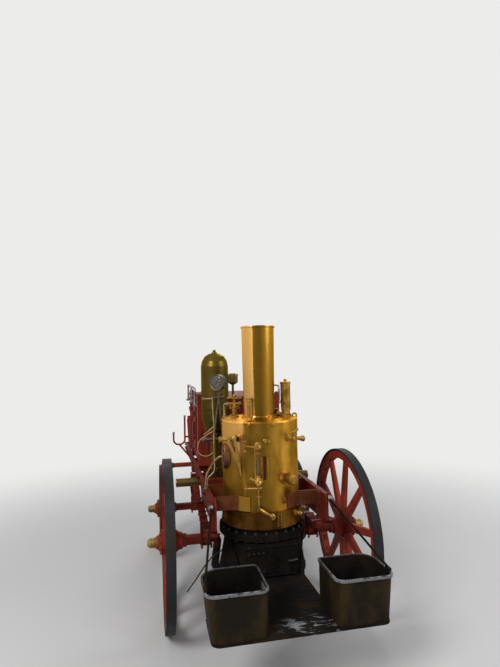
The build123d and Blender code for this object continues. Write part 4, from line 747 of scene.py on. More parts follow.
class FIRE_OT_springs(bpy.types.Operator):
    """Clamp each spring to its axle with plates, U-bolts and nuts"""
    bl_idname = "fire.springs"
    bl_label = "Spring irons"

    def execute(self, context):
        rear, front = 372, 330
        sets = [
            # name, body, x, y, lowest, highest, leg spread in y, nuts below
            ("rear", "carriage", rear, REAR, 499, 612.7, 34, True),
            ("front_low", "fore_carriage", front, FRONT, 353, 450.7, 34, True),
            ("front_high", "fore_carriage", front, FRONT, 599.3, 683, 48, False),
        ]
        for name, body, x_far, y, low, high, spread, below in sets:
            shells, nuts = [], []
            top, bottom = (high + 14, low - 12) if below else (high, low - 10)
            flat, z = (44, high) if below else (58, low - 5)
            for x, leg in product((-x_far, x_far), (y - spread, y + spread)):
                ends = [(x + dx, leg, h) for dx, h in ((-31, bottom), (-31, top), (31, top), (31, bottom))]
                shells.append(tube(ends, 5, 8, bend=10))
                nuts += [((x + dx, leg, low - (8.5 if below else 7.5)), DOWN, 1) for dx in (-31, 31)]
            for x in (-x_far, x_far):
                shells.append(slab((x - 26, y - flat, z), (x + 26, y + flat, z + 6), 3))
                if below:
                    shells.append(slab((x - 40, y - flat, low), (x + 40, y + flat, low + 6), 3))
            joined(f"{name}_spring_clamps", "maroon", shells, body)
            fastenings(f"{name}_spring_nuts", "maroon", "bolt", nuts, 8.5, 8, body)
        shells = []
        for x, end in product((-rear, rear), SIDES):
            for half, low, high in ((150, 599, 637), (235, 613, 645)):
                y = REAR + end * half
                shells.append(slab((x - 28, y - 9, low), (x + 28, y + 9, high), 2))
        joined("rear_leaf_clips", "maroon", shells)
        for name, body, x_far, out, y, reach, z, radius, height in (
                ("spring_eye_nuts", "carriage", rear, 41, REAR, 320, 660, 11, 7),
                ("front_eye_nuts", "fore_carriage", front, 34, FRONT, 300, 525, 10, 6)):
            pins = [((x + face * out, y + end * reach, z), (face, 0, 0), 1)
                    for x, end, face in product((-x_far, x_far), SIDES, SIDES)]
            fastenings(name, "maroon", "bolt", pins, radius, height, body)
        return {"FINISHED"}


# Frame

class FIRE_OT_frame(bpy.types.Operator):
    """Add bolts, edge angles and brackets to the side plates and the fore carriage"""
    bl_idname = "fire.frame"
    bl_label = "Frame irons"

    def execute(self, context):
        spots = [(ahead + dy, 842, 1) for ahead in (235, 760, 1440, 1800, 1960) for dy in (-11, 11)]
        spots += [(ahead, z, 1.1) for ahead in (-275, -235, 115, 155) for z in (790, 840)]
        spots += [(-345 + 85 * k, 712, 0.75) for k in range(9)]
        bolts = [((side * 358.5, REAR + ahead, z), (side, 0, 0), size) for side in SIDES for ahead, z, size in spots]
        fastenings("side_plate_bolts", "maroon", "bolt", bolts, 8.5, 9)
        edges = ((-350, 860, 1960, 865.5), (540, 814, 1960, 819.5), (-350, 689.5, -325, 860))
        joined("side_plate_angles", "maroon", [
            slab((side * 358.3, REAR + y0, z0), (side * 375, REAR + y1, z1), 2)
            for side in SIDES for y0, z0, y1, z1 in edges])
        shells, nuts = [], ring_of((0, FRONT, 674), DOWN, 203, 12, 0.8, 15)
        for x in (-110, 110):
            for y in (FRONT + 300, FRONT + 460, FRONT + 600):
                shells.append(slab((x - 22.5, y - 12, 631.5), (x + 22.5, y + 12, 677), 2))
            nuts += [((x, FRONT + dy, 678.5), UP, 1) for dy in (-180, 300, 460, 600)]
            nuts.append(((x, FRONT + 770, 676.5), UP, 1.1))
        joined("pole_arm_straps", "maroon", shells, "fore_carriage")
        fastenings("fore_carriage_nuts", "maroon", "bolt", nuts, 9, 8, "fore_carriage")
        nuts = [n for n in ring_of((0, FRONT, 706), UP, 203, 12, 0.8, 15) if abs(n[0].y - FRONT) > 55]
        fastenings("turntable_nuts", "maroon", "bolt", nuts, 9, 8)
        y, z = FRONT + 770, 609.7
        hook = ((12, 20), (45, 16), (60, -4), (45, -24), (12, -20))
        shells = []
        for side in SIDES:
            for x in (side * 500, side * 260):
                shells.append(hollow((23.5, -12, 27.5, -12, 27.5, 12, 23.5, 12), (x, y, z), (1, 0, 0), 24))
                shells.append(tube([(x, y + dy, z + dz) for dy, dz in hook], 5.5, 8, bend=12))
            shells.append(lathe((0, 6, 18, 4, 25.5, -2, 27.5, -14, 23.5, -15, 0, -15),
                                (side * 519, y, z), (side, 0, 0), 24))
        joined("splinter_bar_irons", "black_iron", shells, "fore_carriage")
        pin = FRONT + 750
        joined("pole_pin", "steel", [
            lathe((0, 30, 8, 29, 12, 22, 12, 4, 20, 3, 20, -4, 12.5, -5, 12.5, -52, 0, -56), (0, pin, 679), UP, 20),
            tube([(17 * cos(a), pin, 715 + 17 * sin(a)) for a in circle(16)], 3, 6, True)], "fore_carriage")
        return {"FINISHED"}


# Boiler, chimney and firebox

class FIRE_OT_boiler(bpy.types.Operator):
    """Add the shell's seams, rivets, lips and rings, and dress the firebox"""
    bl_idname = "fire.boiler"
    bl_label = "Boiler seams"

    def execute(self, context):
        top, middle = SHELL_TOP, (0, BOILER, 0)
        bands = [hollow(profile, middle, UP, 96) for profile in (
            (255.5, top - 16, 258.5, top - 15, 259, top - 3, 257, top + 0.5, 246, top + 0.5, 246, top - 4),
            (265.5, 660.5, 269, 661, 269, 668, 265.5, 670),
            (265.5, 756, 267.5, 757, 267.5, 764, 260, 767))]
        spot, way = on_boiler(13, 670, 9.8)
        strip = facing(spot, way)
        bands.append(plate((-20, 0, 20, 0, 20, 86, -20, 86), 3.5, strip, 1))
        joined("boiler_bands", "boiler", bands)
        rivets = [(strip @ Vector((dx, 8 + k * 11.7, 3.5)), way, 1) for k in range(7) for dx in (-13, 13)]
        rivets += [(*on_boiler(angle, z, 10), 0.8)
                   for z in (676, 750) for angle in range(3, 360, 6) if abs(angle - 13) > 7]
        rivets += [(*on_boiler(-119.5, 785 + k * 12), 0.75) for k in range(44)]
        rivets += [(*on_boiler(7.5 * k + 2, top - 28), 0.6) for k in range(48)]
        fastenings("boiler_rivets", "boiler", "rivet", rivets, 5.2, 3.6)
        test_pipe = Vector((-92, BOILER - 100))
        nuts = [n for n in ring_of((0, BOILER, top + 12), UP, 114.5, 16) if (n[0].xy - test_pipe).length > 22]
        fastenings("chimney_foot_nuts", "gold", "bolt", nuts, 6.5, 6)
        joined("chimney_rings", "chimney", [hollow(profile, middle, UP, 72) for profile in (
            (115.5, 1943, 118, 1944, 118.8, 1950, 117.5, 1954.8, 113, 1954.8, 112, 1950),
            (103.5, 1338.5, 109.5, 1338.5, 108.5, 1344, 104.5, 1350))])

        nuts = ring_of((0, BOILER, 633.5), UP, 274.5, 26) + ring_of((0, BOILER, 590.5), DOWN, 270, 26, 0.9)
        fastenings("firebox_flange_nuts", "black_iron", "bolt", nuts, 9, 10)
        rivets = [(*on_boiler(9 * k + 4.5, z, out), size)
                  for k in range(4, 36) for z, out, size in ((366, 31.5, 1), (574, -7.3, 0.9))]
        fastenings("firebox_rivets", "soot", "rivet", rivets, 6.5, 4.5)
        joined("mouth_nuts", "black_iron", [nut(9, 7, (x, BOILER - 290, z), BACK, 1)
                                            for x in (-148.68, 148.68) for z in (402, 568)])
        # A thin pipe from the casing's left side, bent out and down behind the bunker
        bends = ((-248, 470), (-292, 458), (-345, 424), (-394, 370), (-448, 296), (-507, 223))
        joined("blow_off_pipe", "black_iron", [
            tube([(x, BOILER, z) for x, z in bends], 4.4, 8, bend=30),
            lathe((0, 14, 9, 13, 11, 6, 11, -4, 0, -4), (-264, BOILER, 466.5), (-1, 0, -0.2), 14)])
        return {"FINISHED"}


class FIRE_OT_fire_door(bpy.types.Operator):
    """Add the fire door's latch, rivets and air slots"""
    bl_idname = "fire.fire_door"
    bl_label = "Fire door irons"

    def execute(self, context):
        door, skin, middle = "fire_door", BOILER - 302.3, 485
        shells = [hollow((38, 0, 44, 0, 43, 4, 39, 4), (-4, skin, middle), BACK)]
        for z in range(middle - 22, middle + 23, 11):
            half = sqrt(34 ** 2 - (z - middle) ** 2)
            shells.append(slab((-4 - half, skin - 4, z - 2.2), (-4 + half, skin + 1, z + 2.2), 0.8))
        edge = [(x, skin + 0.5, middle + z) for x, z in ((-150, -86), (150, -86), (150, 86), (-150, 86))]
        shells.append(tube(edge, 3.8, 8, True, 16))
        joined("fire_door_dressing", "soot", shells, door)
        rivets = [((x, skin - 4, z), BACK, 1) for x in (-150, -120, -90, -60) for z in (430, 540)]
        fastenings("fire_door_rivets", "black_iron", "rivet", rivets, 5.5, 4, door)
        latch = [(80, skin - 20, 485), (125, skin - 22, 487), (150, skin - 12, 488)]
        joined("fire_door_latch", "black_iron", [tube(latch, [7.5, 6.2, 5.2], 8, flat=0.8)], door)
        return {"FINISHED"}


# Fittings on the boiler

class FIRE_OT_fittings(bpy.types.Operator):
    """Add cocks, levers, pipes and the hand-hole plate's bead and ribs"""
    bl_idname = "fire.fittings"
    bl_label = "Boiler fittings"

    def execute(self, context):
        sizes = context.scene.engine_sizes
        gauge, upper_cock, lower_cock = -15.5, 1178, 962

        # Water gauge: gland nuts on the cocks and tees on the handles
        spot, way = on_boiler(gauge, upper_cock, 45)
        gold = [nut(17.5, 12, (spot.x, spot.y, z), up, 2, AHEAD)
                for z, up in ((upper_cock - 30, DOWN), (lower_cock + 30, UP))]
        gold += [nut(13, 10, on_boiler(gauge, z, 68)[0], way) for z in (upper_cock, lower_cock)]
        for z, along, axis, profile in (
                (1204, -80, UP, (0, 16, 8, 14, 10.5, 8, 8.5, 1, 6, 0, 0, 0)),
                (1160, -80, DOWN, (0, 14, 7, 12, 9.5, 7, 7.5, 1, 0, 0)),
                (984, -44, BACK, (0, -11, 8, -8, 11, 0, 8, 8, 0, 11))):
            gold.append(lathe(profile, on_boiler(gauge, z, 45 if z > 1000 else 46, along)[0], axis, 14))
        for along, up in ((-78, -38), (10, -36)):
            spot = on_boiler(gauge, lower_cock + up, 46, along)[0]
            gold.append(lathe((0, -12, 9, -10, 11.5, 0, 9, 10, 0, 12), spot, (1, 0, 0), 14))
            gold.append(tube([spot + Vector((0, 0, dz)) for dz in (-14, 14)], 5.2, 8))

        # Left valve: an open pipe end and a blade that hangs from the barrel
        seat = on_boiler(-46, 1225, 48.3)[0]
        dull = [hollow((10, -2, 16.5, -2, 16.5, 18, 10, 18), seat + Vector((12, -6, 1)), (0.75, -0.66, 0), 20)]
        blade = (-9, 14, 10, 14, 7, -45, 16, -100, 15, -135, 6, -190, 3, -234, -4, -234, -6, -190, -13, -140,
                 -12, -100, -6, -50)
        lean = Matrix.Translation(seat + Vector((4, -17, 0))) @ Matrix.Rotation(radians(-9.5), 4, "Y")
        gold.append(plate(blade, 8, lean @ facing((0, 0, 0), (-0.28, -0.96, 0)), 2.5))
        lever = [seat + Vector(p) for p in ((-40, 0, 2), (-22, -24, -20), (-4, -30, -52), (2, -26, -75))]
        dull.append(tube(lever, [6.5, 6.0, 5.0, 3.5], 8, flat=0.55))

        # Right valve: nuts, and ridges round its cone
        seat, way = on_boiler(33.6, 1215, 46)
        gold += [
            nut(20, 14, seat - way * 22, way, 2),
            lathe((0, 9, 13, 8, 19, 2, 19, -4, 0, -4), on_boiler(33.6, 1203, 46, 92)[0], (-way.y, way.x, -0.12), 18),
            lathe((0, 8, 8, 6, 10, 0, 8, -6, 0, -8), on_boiler(33.6, 1249, 46, -64)[0], way, 14)]

        # Feed union: rings and studs on its cap
        seat, way = on_boiler(23.5, 968, 94.3)
        gold += [hollow((r0, -2, r1, -2, r1, 2.5, r1 - 1, 3.5, r0, 3.5), seat, way, 28)
                 for r0, r1 in ((19, 22.8), (10.5, 13.5))]
        gold.append(nut(7.5, 7, seat - way, way, 1))
        for a in circle(6):
            gold.append(tube([on_boiler(23.5, 968 + 32.5 * sin(a), 94.3 + out, 32.5 * cos(a))[0]
                              for out in (-26, -10)], 3.5, 6))

        # Lever valve on the belt
        way = on_boiler(43, 735)[1]
        brass = [nut(13, 10, on_boiler(43, 735, 56)[0], way),
                 lathe((0, 12, 10, 9, 13, 1, 10, -8, 0, -11), on_boiler(43, 749, 44, 66)[0], UP, 16)]

        # Stop valve: yoke pillars, gland and a ribbed rim
        x, y = -153, BOILER + 110
        brass += [tube([(x + dx, y, 1388), (x + dx, y, 1424)], 5.5, 8) for dx in (-30, 30)]
        brass.append(slab((x - 36, y - 9, 1384), (x + 36, y + 9, 1392), 2))
        gold.append(lathe((0, 17, 10, 15, 14, 9, 14.5, 0), (x, y, 1469.5), UP, 18))
        # Test pipe: a flared cup
        gold.append(hollow((12, -4, 19, 10, 22, 16.5, 19.5, 16.5, 10, 2), (-92, BOILER - 100, 1453), UP, 24))
        # Safety valve: bands, a drain boss and bolts on its foot
        safety, chest, chest_y = 190, 138, BOILER + 73
        gold += [hollow((33.5, -3, 36.2, -2, 36.2, 2, 33.5, 3), (safety, BOILER, z)) for z in (1400, 1470, 1540)]
        gold.append(lathe((0, 40, 9, 39, 10, 30, 16, 29, 16, 22, 10, 21, 10, 0), (safety - 28, BOILER, 1352),
                          (-1, 0, 0), 18))
        dull.append(slab((chest - 28, chest_y - 28, 1326.3), (chest + 28, chest_y + 28, 1346), 6))
        dull.append(lathe((0, 34, 14, 33, 18, 26, 18, 0), (chest, chest_y, 1345.5), UP, 20))
        nuts = [((chest + dx, chest_y + dy, 1347.5), UP, 1) for dx, dy in product((-22, 22), repeat=2)]
        nuts += ring_of((safety, BOILER, 1340), UP, 33.5, 6, 0.8, 30) + ring_of((x, y, 1337), UP, 24, 6, 0.8, 30)
        fastenings("crown_nuts", "steel", "bolt", nuts, 6, 7)

        # Glass guard, a dark red strip on the shell behind the glass, and small pipes
        joined("gauge_back_strip", "dark_red", [plate(oblong(8, 72), 6, facing(*on_boiler(-6.6, 1040, 0.5)), 1.5)])
        for angle in (-11.0, -2.5):
            gold.append(tube([on_boiler(angle, z, 12)[0] for z in (975, 1108)], 3.2, 8))
            gold += [tube([on_boiler(angle, z, out)[0] for out in (0, 14)], 4.2, 8) for z in (978, 1105)]
        gold.append(hollow((13.8, -4, 18.5, -3, 18.5, 3, 13.8, 4), on_boiler(gauge, 880, 45)[0], UP, 16))
        joined("fitting_details", "gold", gold)
        joined("fitting_bodies", "olive", dull)
        joined("fitting_brasses", "brass", brass)

        # A pale pipe from the stop valve's arm, down the left side of the shell
        down = [(-198, y, 1420), (-214, y, 1420), (-214, y + 72, 1405), (-214, y + 72, 1020), (-195.5, y + 56.5, 990)]
        joined("warming_pipe", "cream", [
            tube(down, sizes.warming_pipe / MM, 10, bend=24),
            nut(14.5, 10, (-198.5, y, 1420), (-1, 0, 0)),
            hollow((8.1, 0, 13.5, 0, 13.5, 10, 8.1, 10), (-214, y + 72, 1180), UP, 14)])
        # Pipe from the shell's left side, down outside the rail
        start, way = on_boiler(-84, 1085, 1)
        down = [start, start + way * 30, (-318, BOILER + 10, 1045), (-366, BOILER + 30, 960),
                (-372, BOILER + 35, 880), (-372, BOILER + 35, 865.5)]
        joined("drain_pipe_left", "cream", [
            tube(down, sizes.drain_pipe / MM, 10, bend=50),
            nut(13, 10, start, way, 1),
            hollow((6.6, 0, 12, 0, 12, 6, 6.6, 6), (-372, BOILER + 35, 865.7), UP, 14)])
        # Hand-hole plate: a bead round its edge and ribs across it
        x, y, z = -262.5, BOILER - 66, 1097
        shells = [tube([(x + 0.5, y + 59 * cos(a), z + 80 * sin(a)) for a in circle(48)], 4, 8, True)]
        for up in range(-55, 56, 22):
            half = 52 * 0.8 * sqrt(1 - (up / 80) ** 2)
            shells.append(tube([(x - 2, y - half, z + up - 12), (x - 4, y, z + up), (x - 2, y + half, z + up + 12)],
                               3.6, 6))
        joined("hand_hole_ribs", "copper", shells)
        return {"FINISHED"}


# Pressure gauge

class FIRE_OT_gauge(bpy.types.Operator):
    """Add the dial, its marks and plain numbers, the needle and the glass"""
    bl_idname = "fire.gauge"
    bl_label = "Pressure gauge"

    def execute(self, context):
        out = Vector((-sin(radians(40)), -cos(radians(40)), 0))
        centre = Vector((-230, REAR + 300, 1562)) + out * 23.2
        flat = facing(centre, out)

        def on_dial(radius, degrees, height):
            angle = radians(degrees)
            return flat @ Matrix.Translation((radius * cos(angle), radius * sin(angle), height))

        joined("dial_face", "dial", [lathe((0, 1.2, 49, 1.2, 50.5, 0.4, 50.5, 0), centre, out, 48)])
        marks = []
        for k in range(31):
            long, wide = (7, 1.1) if k % 5 == 0 else (4, 0.6)
            turn = on_dial(44.5, 225 - 9 * k, 1.3) @ Matrix.Rotation(radians(225 - 9 * k), 4, "Z")
            marks.append(plate((-long, -wide, 0, -wide, 0, wide, -long, wide), 0.4, turn))
        needle = on_dial(0, 0, 3) @ Matrix.Rotation(radians(222), 4, "Z")
        marks.append(plate((-12, -2.2, 0, -2.8, 40, -0.6, 40, 0.6, 0, 2.8, -12, 2.2), 1, needle))
        marks.append(lathe((0, 5.5, 3.5, 5, 4.2, 3.5, 4.2, 1.2), centre, out, 16))
        joined("dial_marks", "black", marks)
        shells = []
        for k in range(7):
            curve = bpy.data.curves.new("number", "FONT")
            curve.body = str(50 * k)
            curve.size, curve.extrude = 0.0085, 0.0002
            curve.align_x = curve.align_y = "CENTER"
            made = frozen(placed("number", curve))
            turn = on_dial(31, 225 - 45 * k, 1.5)
            shells.append(([turn @ (v.co / MM) for v in made.vertices], [list(p.vertices) for p in made.polygons]))
        joined("dial_numbers", "black", shells)
        joined("dial_glass", "glass", [lathe((0, 8.5, 25, 8, 50, 6.2, 51.5, 5, 0, 5), centre, out, 40)])
        back = Vector((-230, REAR + 300, 1450))
        rims = [hollow(profile, centre, out, 48) for profile in (
            (51, 2, 56, 2, 57.5, 6.8, 56, 8.2, 51, 6.8), (56.5, -46, 59, -45, 59, -40, 56.5, -39))]
        rims += [nut(12.5, 9, back + Vector((dx, 0, 0)), (dx, 0, 0)) for dx in (-34, 34)]
        rims.append(hollow((7.8, -9, 13.5, -9, 13.5, 9, 7.8, 9), (back.x, back.y, 1484), UP, 6))
        joined("gauge_rims", "gauge", rims)
        # Pipes: a stub, a link, one from the gauge legs down to the rail, and its loop beside the valve
        pipes = [lathe((0, 14, 8.5, 11, 11.5, 2, 8.5, -7, 6, -10), (-323, REAR + 450, 1430), (-1, 0, 0), 14)]
        for radius, sides, bend, path in (
                (6.2, 10, 0, ((-323, 450, 1430), (-235, 450, 1430))),
                (5.0, 8, 0, ((-345, 312, 1175), (-300, 310, 1205), (-268, 308, 1235))),
                (4.6, 8, 60, ((-276, 300, 1450), (-292, 180, 1400), (-300, 60, 1290), (-302, 50, 1120),
                              (-300, 40, 960), (-352, 40, 920), (-352, 40, 866.5))),
                (3.8, 8, 60, ((-302, 50, 1235), (-340, 40, 1220), (-412, 50, 1170), (-416, 50, 1085),
                              (-350, 50, 1060), (-302, 50, 1092)))):
            pipes.append(tube([(x, REAR + y, z) for x, y, z in path], radius, sides, bend=bend))
        joined("gauge_pipes", "cream", pipes)
        return {"FINISHED"}


# Pump, engine and air vessel

class FIRE_OT_engine(bpy.types.Operator):
    """Add covers, bands, nuts, glands and oil cups to the pump and engine"""
    bl_idname = "fire.engine"
    bl_label = "Engine and pump irons"

    def execute(self, context):
        y, apart = ENGINE, 100
        brass, nuts = [], []
        for x in (-apart, apart):
            nuts += ring_of((x, y, 1287), UP, 83, 10, 0.9, 18) + ring_of((x, y, 596.5), UP, 74.5, 10, 0.9)
            nuts += [n for n in ring_of((x, y, 1069.5), DOWN, 87, 8, 0.9, 22.5) if abs(abs(n[0].x) - 157) > 20]
            brass += [hollow((81.5, -7, 83.8, -6, 83.8, 6, 81.5, 7), (x, y, z), UP, 48) for z in (1105, 1252)]
            brass += [hollow((34.2, 0, 40.5, 0, 40.5, 8, 34.2, 10), (x, y, z), up, 24)
                      for z, up in ((825, UP), (1060, DOWN))]
            # Drain cock
            brass.append(lathe((0, 34, 5, 33, 8, 26, 8, 18, 5, 16, 5, 0), (x, y - 81, 1095), (0, -1, -0.15), 12))
        # The right oil cup, and the funnel of the left one
        brass.append(lathe((0, 52, 6, 51, 8, 45, 18, 40, 19, 20, 8, 12, 6, 0), (apart, y, 1299), UP, 20))
        brass.append(hollow((38.5, -14, 44, 2, 44, 6, 41, 6, 36, -12), (-apart, y, 1612)))
        spots = [*product((-85, 85), (1118, 1168, 1222)), *product((-30, 30), (1118, 1222))]
        nuts += [((x, y + 127.5, z), AHEAD, 0.9) for x, z in spots]
        # Crossheads: brass slippers and nuts
        for side, body in zip(SIDES, ("piston_rod_left", "piston_rod_right")):
            x, z = side * apart, sum(corner.z for corner in box_mm(body)) / 2
            shells = []
            for end in SIDES:
                shells.append(slab((x - 34, y + end * 23.5, z - 10), (x + 34, y + end * 26.5, z + 10), 2))
                shells.append(nut(8.5, 6, (x, y + end * 26.2, z), (0, end, 0), 1))
            joined(f"{body}_crosshead", "brass", shells, body)
        # Pump chest: cover plate and nuts, flanges and outlets
        cover = SUCTION + 42
        steel = [slab((-170, cover, 590), (170, cover + 10, 708), 6)]
        spots = [*product((-150, -75, 0, 75, 150), (604, 694)), (-150, 649), (150, 649)]
        nuts += [((x, cover + 11.5, z), AHEAD, 1) for x, z in spots]
        nuts += ring_of((261, SUCTION, 632), (1, 0, 0), 53, 8, 0.75, 30)
        for side in SIDES:
            nuts += ring_of((side * 327, DELIVERY, 772), (side, 0, 0), 39, 6, 0.75, 30)
            brass.append(hollow((24, 0, 31.6, 0, 33, 4, 31.6, 8, 24, 6), (side * 532, DELIVERY, 772), (side, 0, 0)))
        for z, up in ((872, UP), (1150, DOWN)):
            nuts += ring_of((VESSEL_X, DELIVERY, z), up, 53, 8, 0.8)
        # Suction inlet: three lugs on its cap ring
        for a in circle(3):
            way = Vector((0, cos(a + 0.3), sin(a + 0.3)))
            brass.append(tube([Vector((483, SUCTION, 632)) + way * r for r in (54, 76)], [8.5, 6.2], 8))
        # Columns: nuts at both ends
        spread = 75 * cos(radians(45))
        for x, dy in product((-apart - spread, apart + spread), (-spread, spread)):
            steel += [hollow((14.2, 0, 21.5, 0, 20, 10, 14.2, 10), (x, y + dy, z), up, 6)
                      for z, up in ((828.2, UP), (1056.8, DOWN))]
        joined("engine_nuts_large", "steel", steel)
        joined("engine_brasses", "brass", brass)
        fastenings("engine_nuts", "gold", "bolt", nuts, 8.5, 9)
        # Air vessel: rivets along the two lap rings and a plug on top
        rivets = [place for z in (1341, 1431)
                  for place in ring_of((VESSEL_X, DELIVERY, z), UP, 113, 36, outwards=True)]
        fastenings("vessel_rivets", "vessel", "rivet", rivets, 3, 2.2)
        joined("vessel_plug", "vessel", [
            lathe((0, 26, 9, 25, 12, 18, 12, 10, 20, 6, 24, -4, 24, -10), (VESSEL_X, DELIVERY, 1790), UP, 24)])
        return {"FINISHED"}


# Body

class FIRE_OT_body(bpy.types.Operator):
    """Add mouldings, corner irons, hinges, the seat cushion and the collars of its rail"""
    bl_idname = "fire.body"
    bl_label = "Body trim"

    def execute(self, context):
        back, front = REAR + 700, REAR + 1520
        mid = (back + front) / 2
        panels = [[(x, y0, 935), (x, y1, 935), (x, y1, 1340), (x, y0, 1340)]
                  for x in (-329, 329) for y0, y1 in ((back + 70, mid - 25), (mid + 25, front - 70))]
        panels.append([(-270, back + 1, 935), (270, back + 1, 935), (270, back + 1, 1340), (-270, back + 1, 1340)])
        width = context.scene.engine_sizes.moulding / MM
        beads, irons, rivets = [tube(rounded(panel, 12, True, 4), width, 8, True) for panel in panels], [], []
        for side in SIDES:
            x = side * 348
            for y0, y1 in ((back - 4, back + 32), (front - 40, front - 4)):
                for z in (880, 1060, 1230, 1400):
                    irons.append(slab((x, y0 - 1, z), (x + side * 3, y1 + 1, z + 18), 1))
                    rivets += [((x + side * 3, y0 + d, z + 9), (side, 0, 0), 1) for d in (9, 27)]
                beads.append(lathe((0, 16, 10, 14, 14, 8, 18, 2, 18, -1), (side * 330, (y0 + y1) / 2, 1440), UP, 16))
        joined("body_beads", "maroon", beads)
        joined("body_irons", "black_iron", irons)
        fastenings("body_rivets", "black_iron", "rivet", rivets, 4, 3)
        # Steps, blocks and scrolls that show beyond the wheel on each side
        shells = []
        for side in SIDES:
            x = side * 330.5
            for z0, z1, deep in ((1210, 1262, 22), (1000, 1165, 16)):
                shells.append(slab((x, REAR + 1232, z0), (x + side * deep, REAR + 1292, z1), 4))
            coil = [(0.4 * k, 12 + 2.8 * k) for k in range(17)]
            shells.append(tube([(x + side * 14, REAR + 1300 + r * cos(a), 906 + r * sin(a)) for a, r in coil], 6, 8))
        joined("body_blocks", "body", shells)

        # Lid: strap hinges, a handle and a hasp
        top = 1424.3
        shells, rivets = [], []
        for x in (-227, 227):
            shells.append(slab((x - 17, front - 280, top), (x + 17, front - 24, top + 4), 2))
            rivets += [((x, front - d, top + 4), UP, 1) for d in (255, 190, 125, 60)]
        shells.append(slab((-24, back - 10.5, 1372), (24, back - 7.8, top), 2))
        shells.append(slab((-24, back - 10.5, 1420.5), (24, back + 60, 1427.5), 2))
        for x in (-180, 180):
            handle = [(x, back + dy, top + dz) for dy, dz in ((60, 0), (60, 24), (150, 24), (150, 0))]
            shells.append(tube(handle, 5, 8, bend=12))
        joined("lid_irons", "black_iron", shells, "hose_box_lid")
        fastenings("lid_rivets", "black_iron", "rivet", rivets, 5, 3.5, "hose_box_lid")
        staple = [(0, back - dy, z) for dy, z in ((5, 1352), (16, 1352), (16, 1338), (5, 1338))]
        joined("lid_staple", "black_iron", [slab((-16, back - 6, 1330), (16, back + 1, 1362), 2),
                                            tube(staple, 2.6, 8, bend=4)])

        # Seat: a buttoned cushion, and collars under its iron rail
        low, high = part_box("seat_cushion")
        reach, middle = high[0] - 0.012, (low[1] + high[1]) / 2
        buttons = (-0.190, -0.095, 0.0, 0.095, 0.190)
        cushion = pad_shell((-reach, low[1] + 0.006, low[2] + 0.0003), (reach, high[1] - 0.006, high[2] + 0.004),
                            26, 18, [(x, 0.5) for x in buttons])
        piece = puffed("padded_cushion", cushion, [(x, middle) for x in buttons], low[2] + 0.0003, high[2])
        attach(piece, "carriage")
        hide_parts("seat_cushion")
        joined("cushion_buttons", "leather", [
            lathe((0, 6, 7, 4, 9, 0, 8, -4, 0, -6), (x / MM, middle / MM, high[2] / MM - 5.5), UP, 12)
            for x in buttons])
        rear_rail, front_rail = front + 22, REAR + 1850
        feet = [(x, rear_rail) for x in (-210, 0, 210)]
        feet += product((-310, 310), ((rear_rail + front_rail) / 2, front_rail))
        joined("seat_rail_collars", "black_iron", [
            hollow((6.2, 0.3, 14, 0.3, 12.5, 6, 7.8, 9, 6.2, 9), (x, y, 1250), UP, 16) for x, y in feet])

        # Footboard: battens and bracket irons
        joined("footboard_battens", "wood", [
            slab((-300, REAR + y, 886.8), (300, REAR + y + 16, 893.5), 2) for y in range(1920, 2049, 32)])
        edge = ((1900, 864), (2050, 864), (2225, 1080))
        joined("footboard_edges", "black_iron", [
            tube([(x, REAR + y, z) for y, z in edge], 7.5, 8, bend=90, flat=0.5) for x in (-321.5, 321.5)])
        # Sockets of the hand rails
        posts = [*product(SIDES, (back + 60, mid, front - 60))]
        joined("hand_rail_collars", "steel", [
            hollow((8.8, 0, 13.5, 0, 12, 14, 8.8, 16), (side * 366, y, 1361.2), UP, 16) for side, y in posts])
        nuts = [((side * 379, y, 1354), (side, 0, 0), 1) for side, y in posts]
        fastenings("hand_rail_nuts", "steel", "bolt", nuts, 7.5, 6)
        joined("crutch_tips", "steel", [
            lathe((0, 12, 8, 9, 11.5, 0, 9, -8, 7.8, -10), (x, REAR + 1100, z), UP, 14)
            for x, z in ((-430, 1235), (-530, 1090), (430, 1235), (530, 1090))])
        return {"FINISHED"}


def pad_shell(low, high, across, along, buttons):
    """A crowned closed cushion in metres, drawn down where it is buttoned."""
    (x0, y0, z0), (x1, y1, z1) = low, high
    power, wall, dimple = 5.0, 0.030, 0.022
    verts, faces = [], []
    for layer, j, i in product((0, 1), range(along + 1), range(across + 1)):
        s, t = 2 * i / across - 1, 2 * j / along - 1
        # The outline is a rounded rectangle
        edge = max(abs(s), abs(t))
        reach = edge / max((abs(s) ** power + abs(t) ** power) ** (1 / power), 1e-9)
        u, v = s * reach, t * reach
        crown = (1 - edge ** 4) ** 0.5
        x = (x0 + x1) / 2 + u * (x1 - x0) / 2
        y = (y0 + y1) / 2 + v * (y1 - y0) / 2
        if layer:
            dip = sum(exp(-(((x - bx) / 0.030) ** 2 + ((v - (2 * by - 1)) / 0.22) ** 2)) for bx, by in buttons)
            z = z0 + wall + (z1 - z0 - wall) * crown - dimple * min(1.0, dip) * crown
            z += 0.004 * crown * cos(pi * (x - x0) / 0.0475) * (1 - v * v)
        else:
            z = z0 + 0.012 * (1 - crown)
        verts.append((x, y, z))
    row = across + 1
    size = row * (along + 1)
    for j, i in product(range(along), range(across)):
        a = j * row + i
        faces.append([a + size, a + 1 + size, a + row + 1 + size, a + row + size])
        faces.append([a, a + row, a + row + 1, a + 1])
    rim = [i for i in range(across)] + [across + j * row for j in range(along)]
    rim += [size - 1 - k for k in rim]
    faces += [[a, b, b + size, a + size] for a, b in zip(rim, rim[1:] + rim[:1])]
    return verts, faces


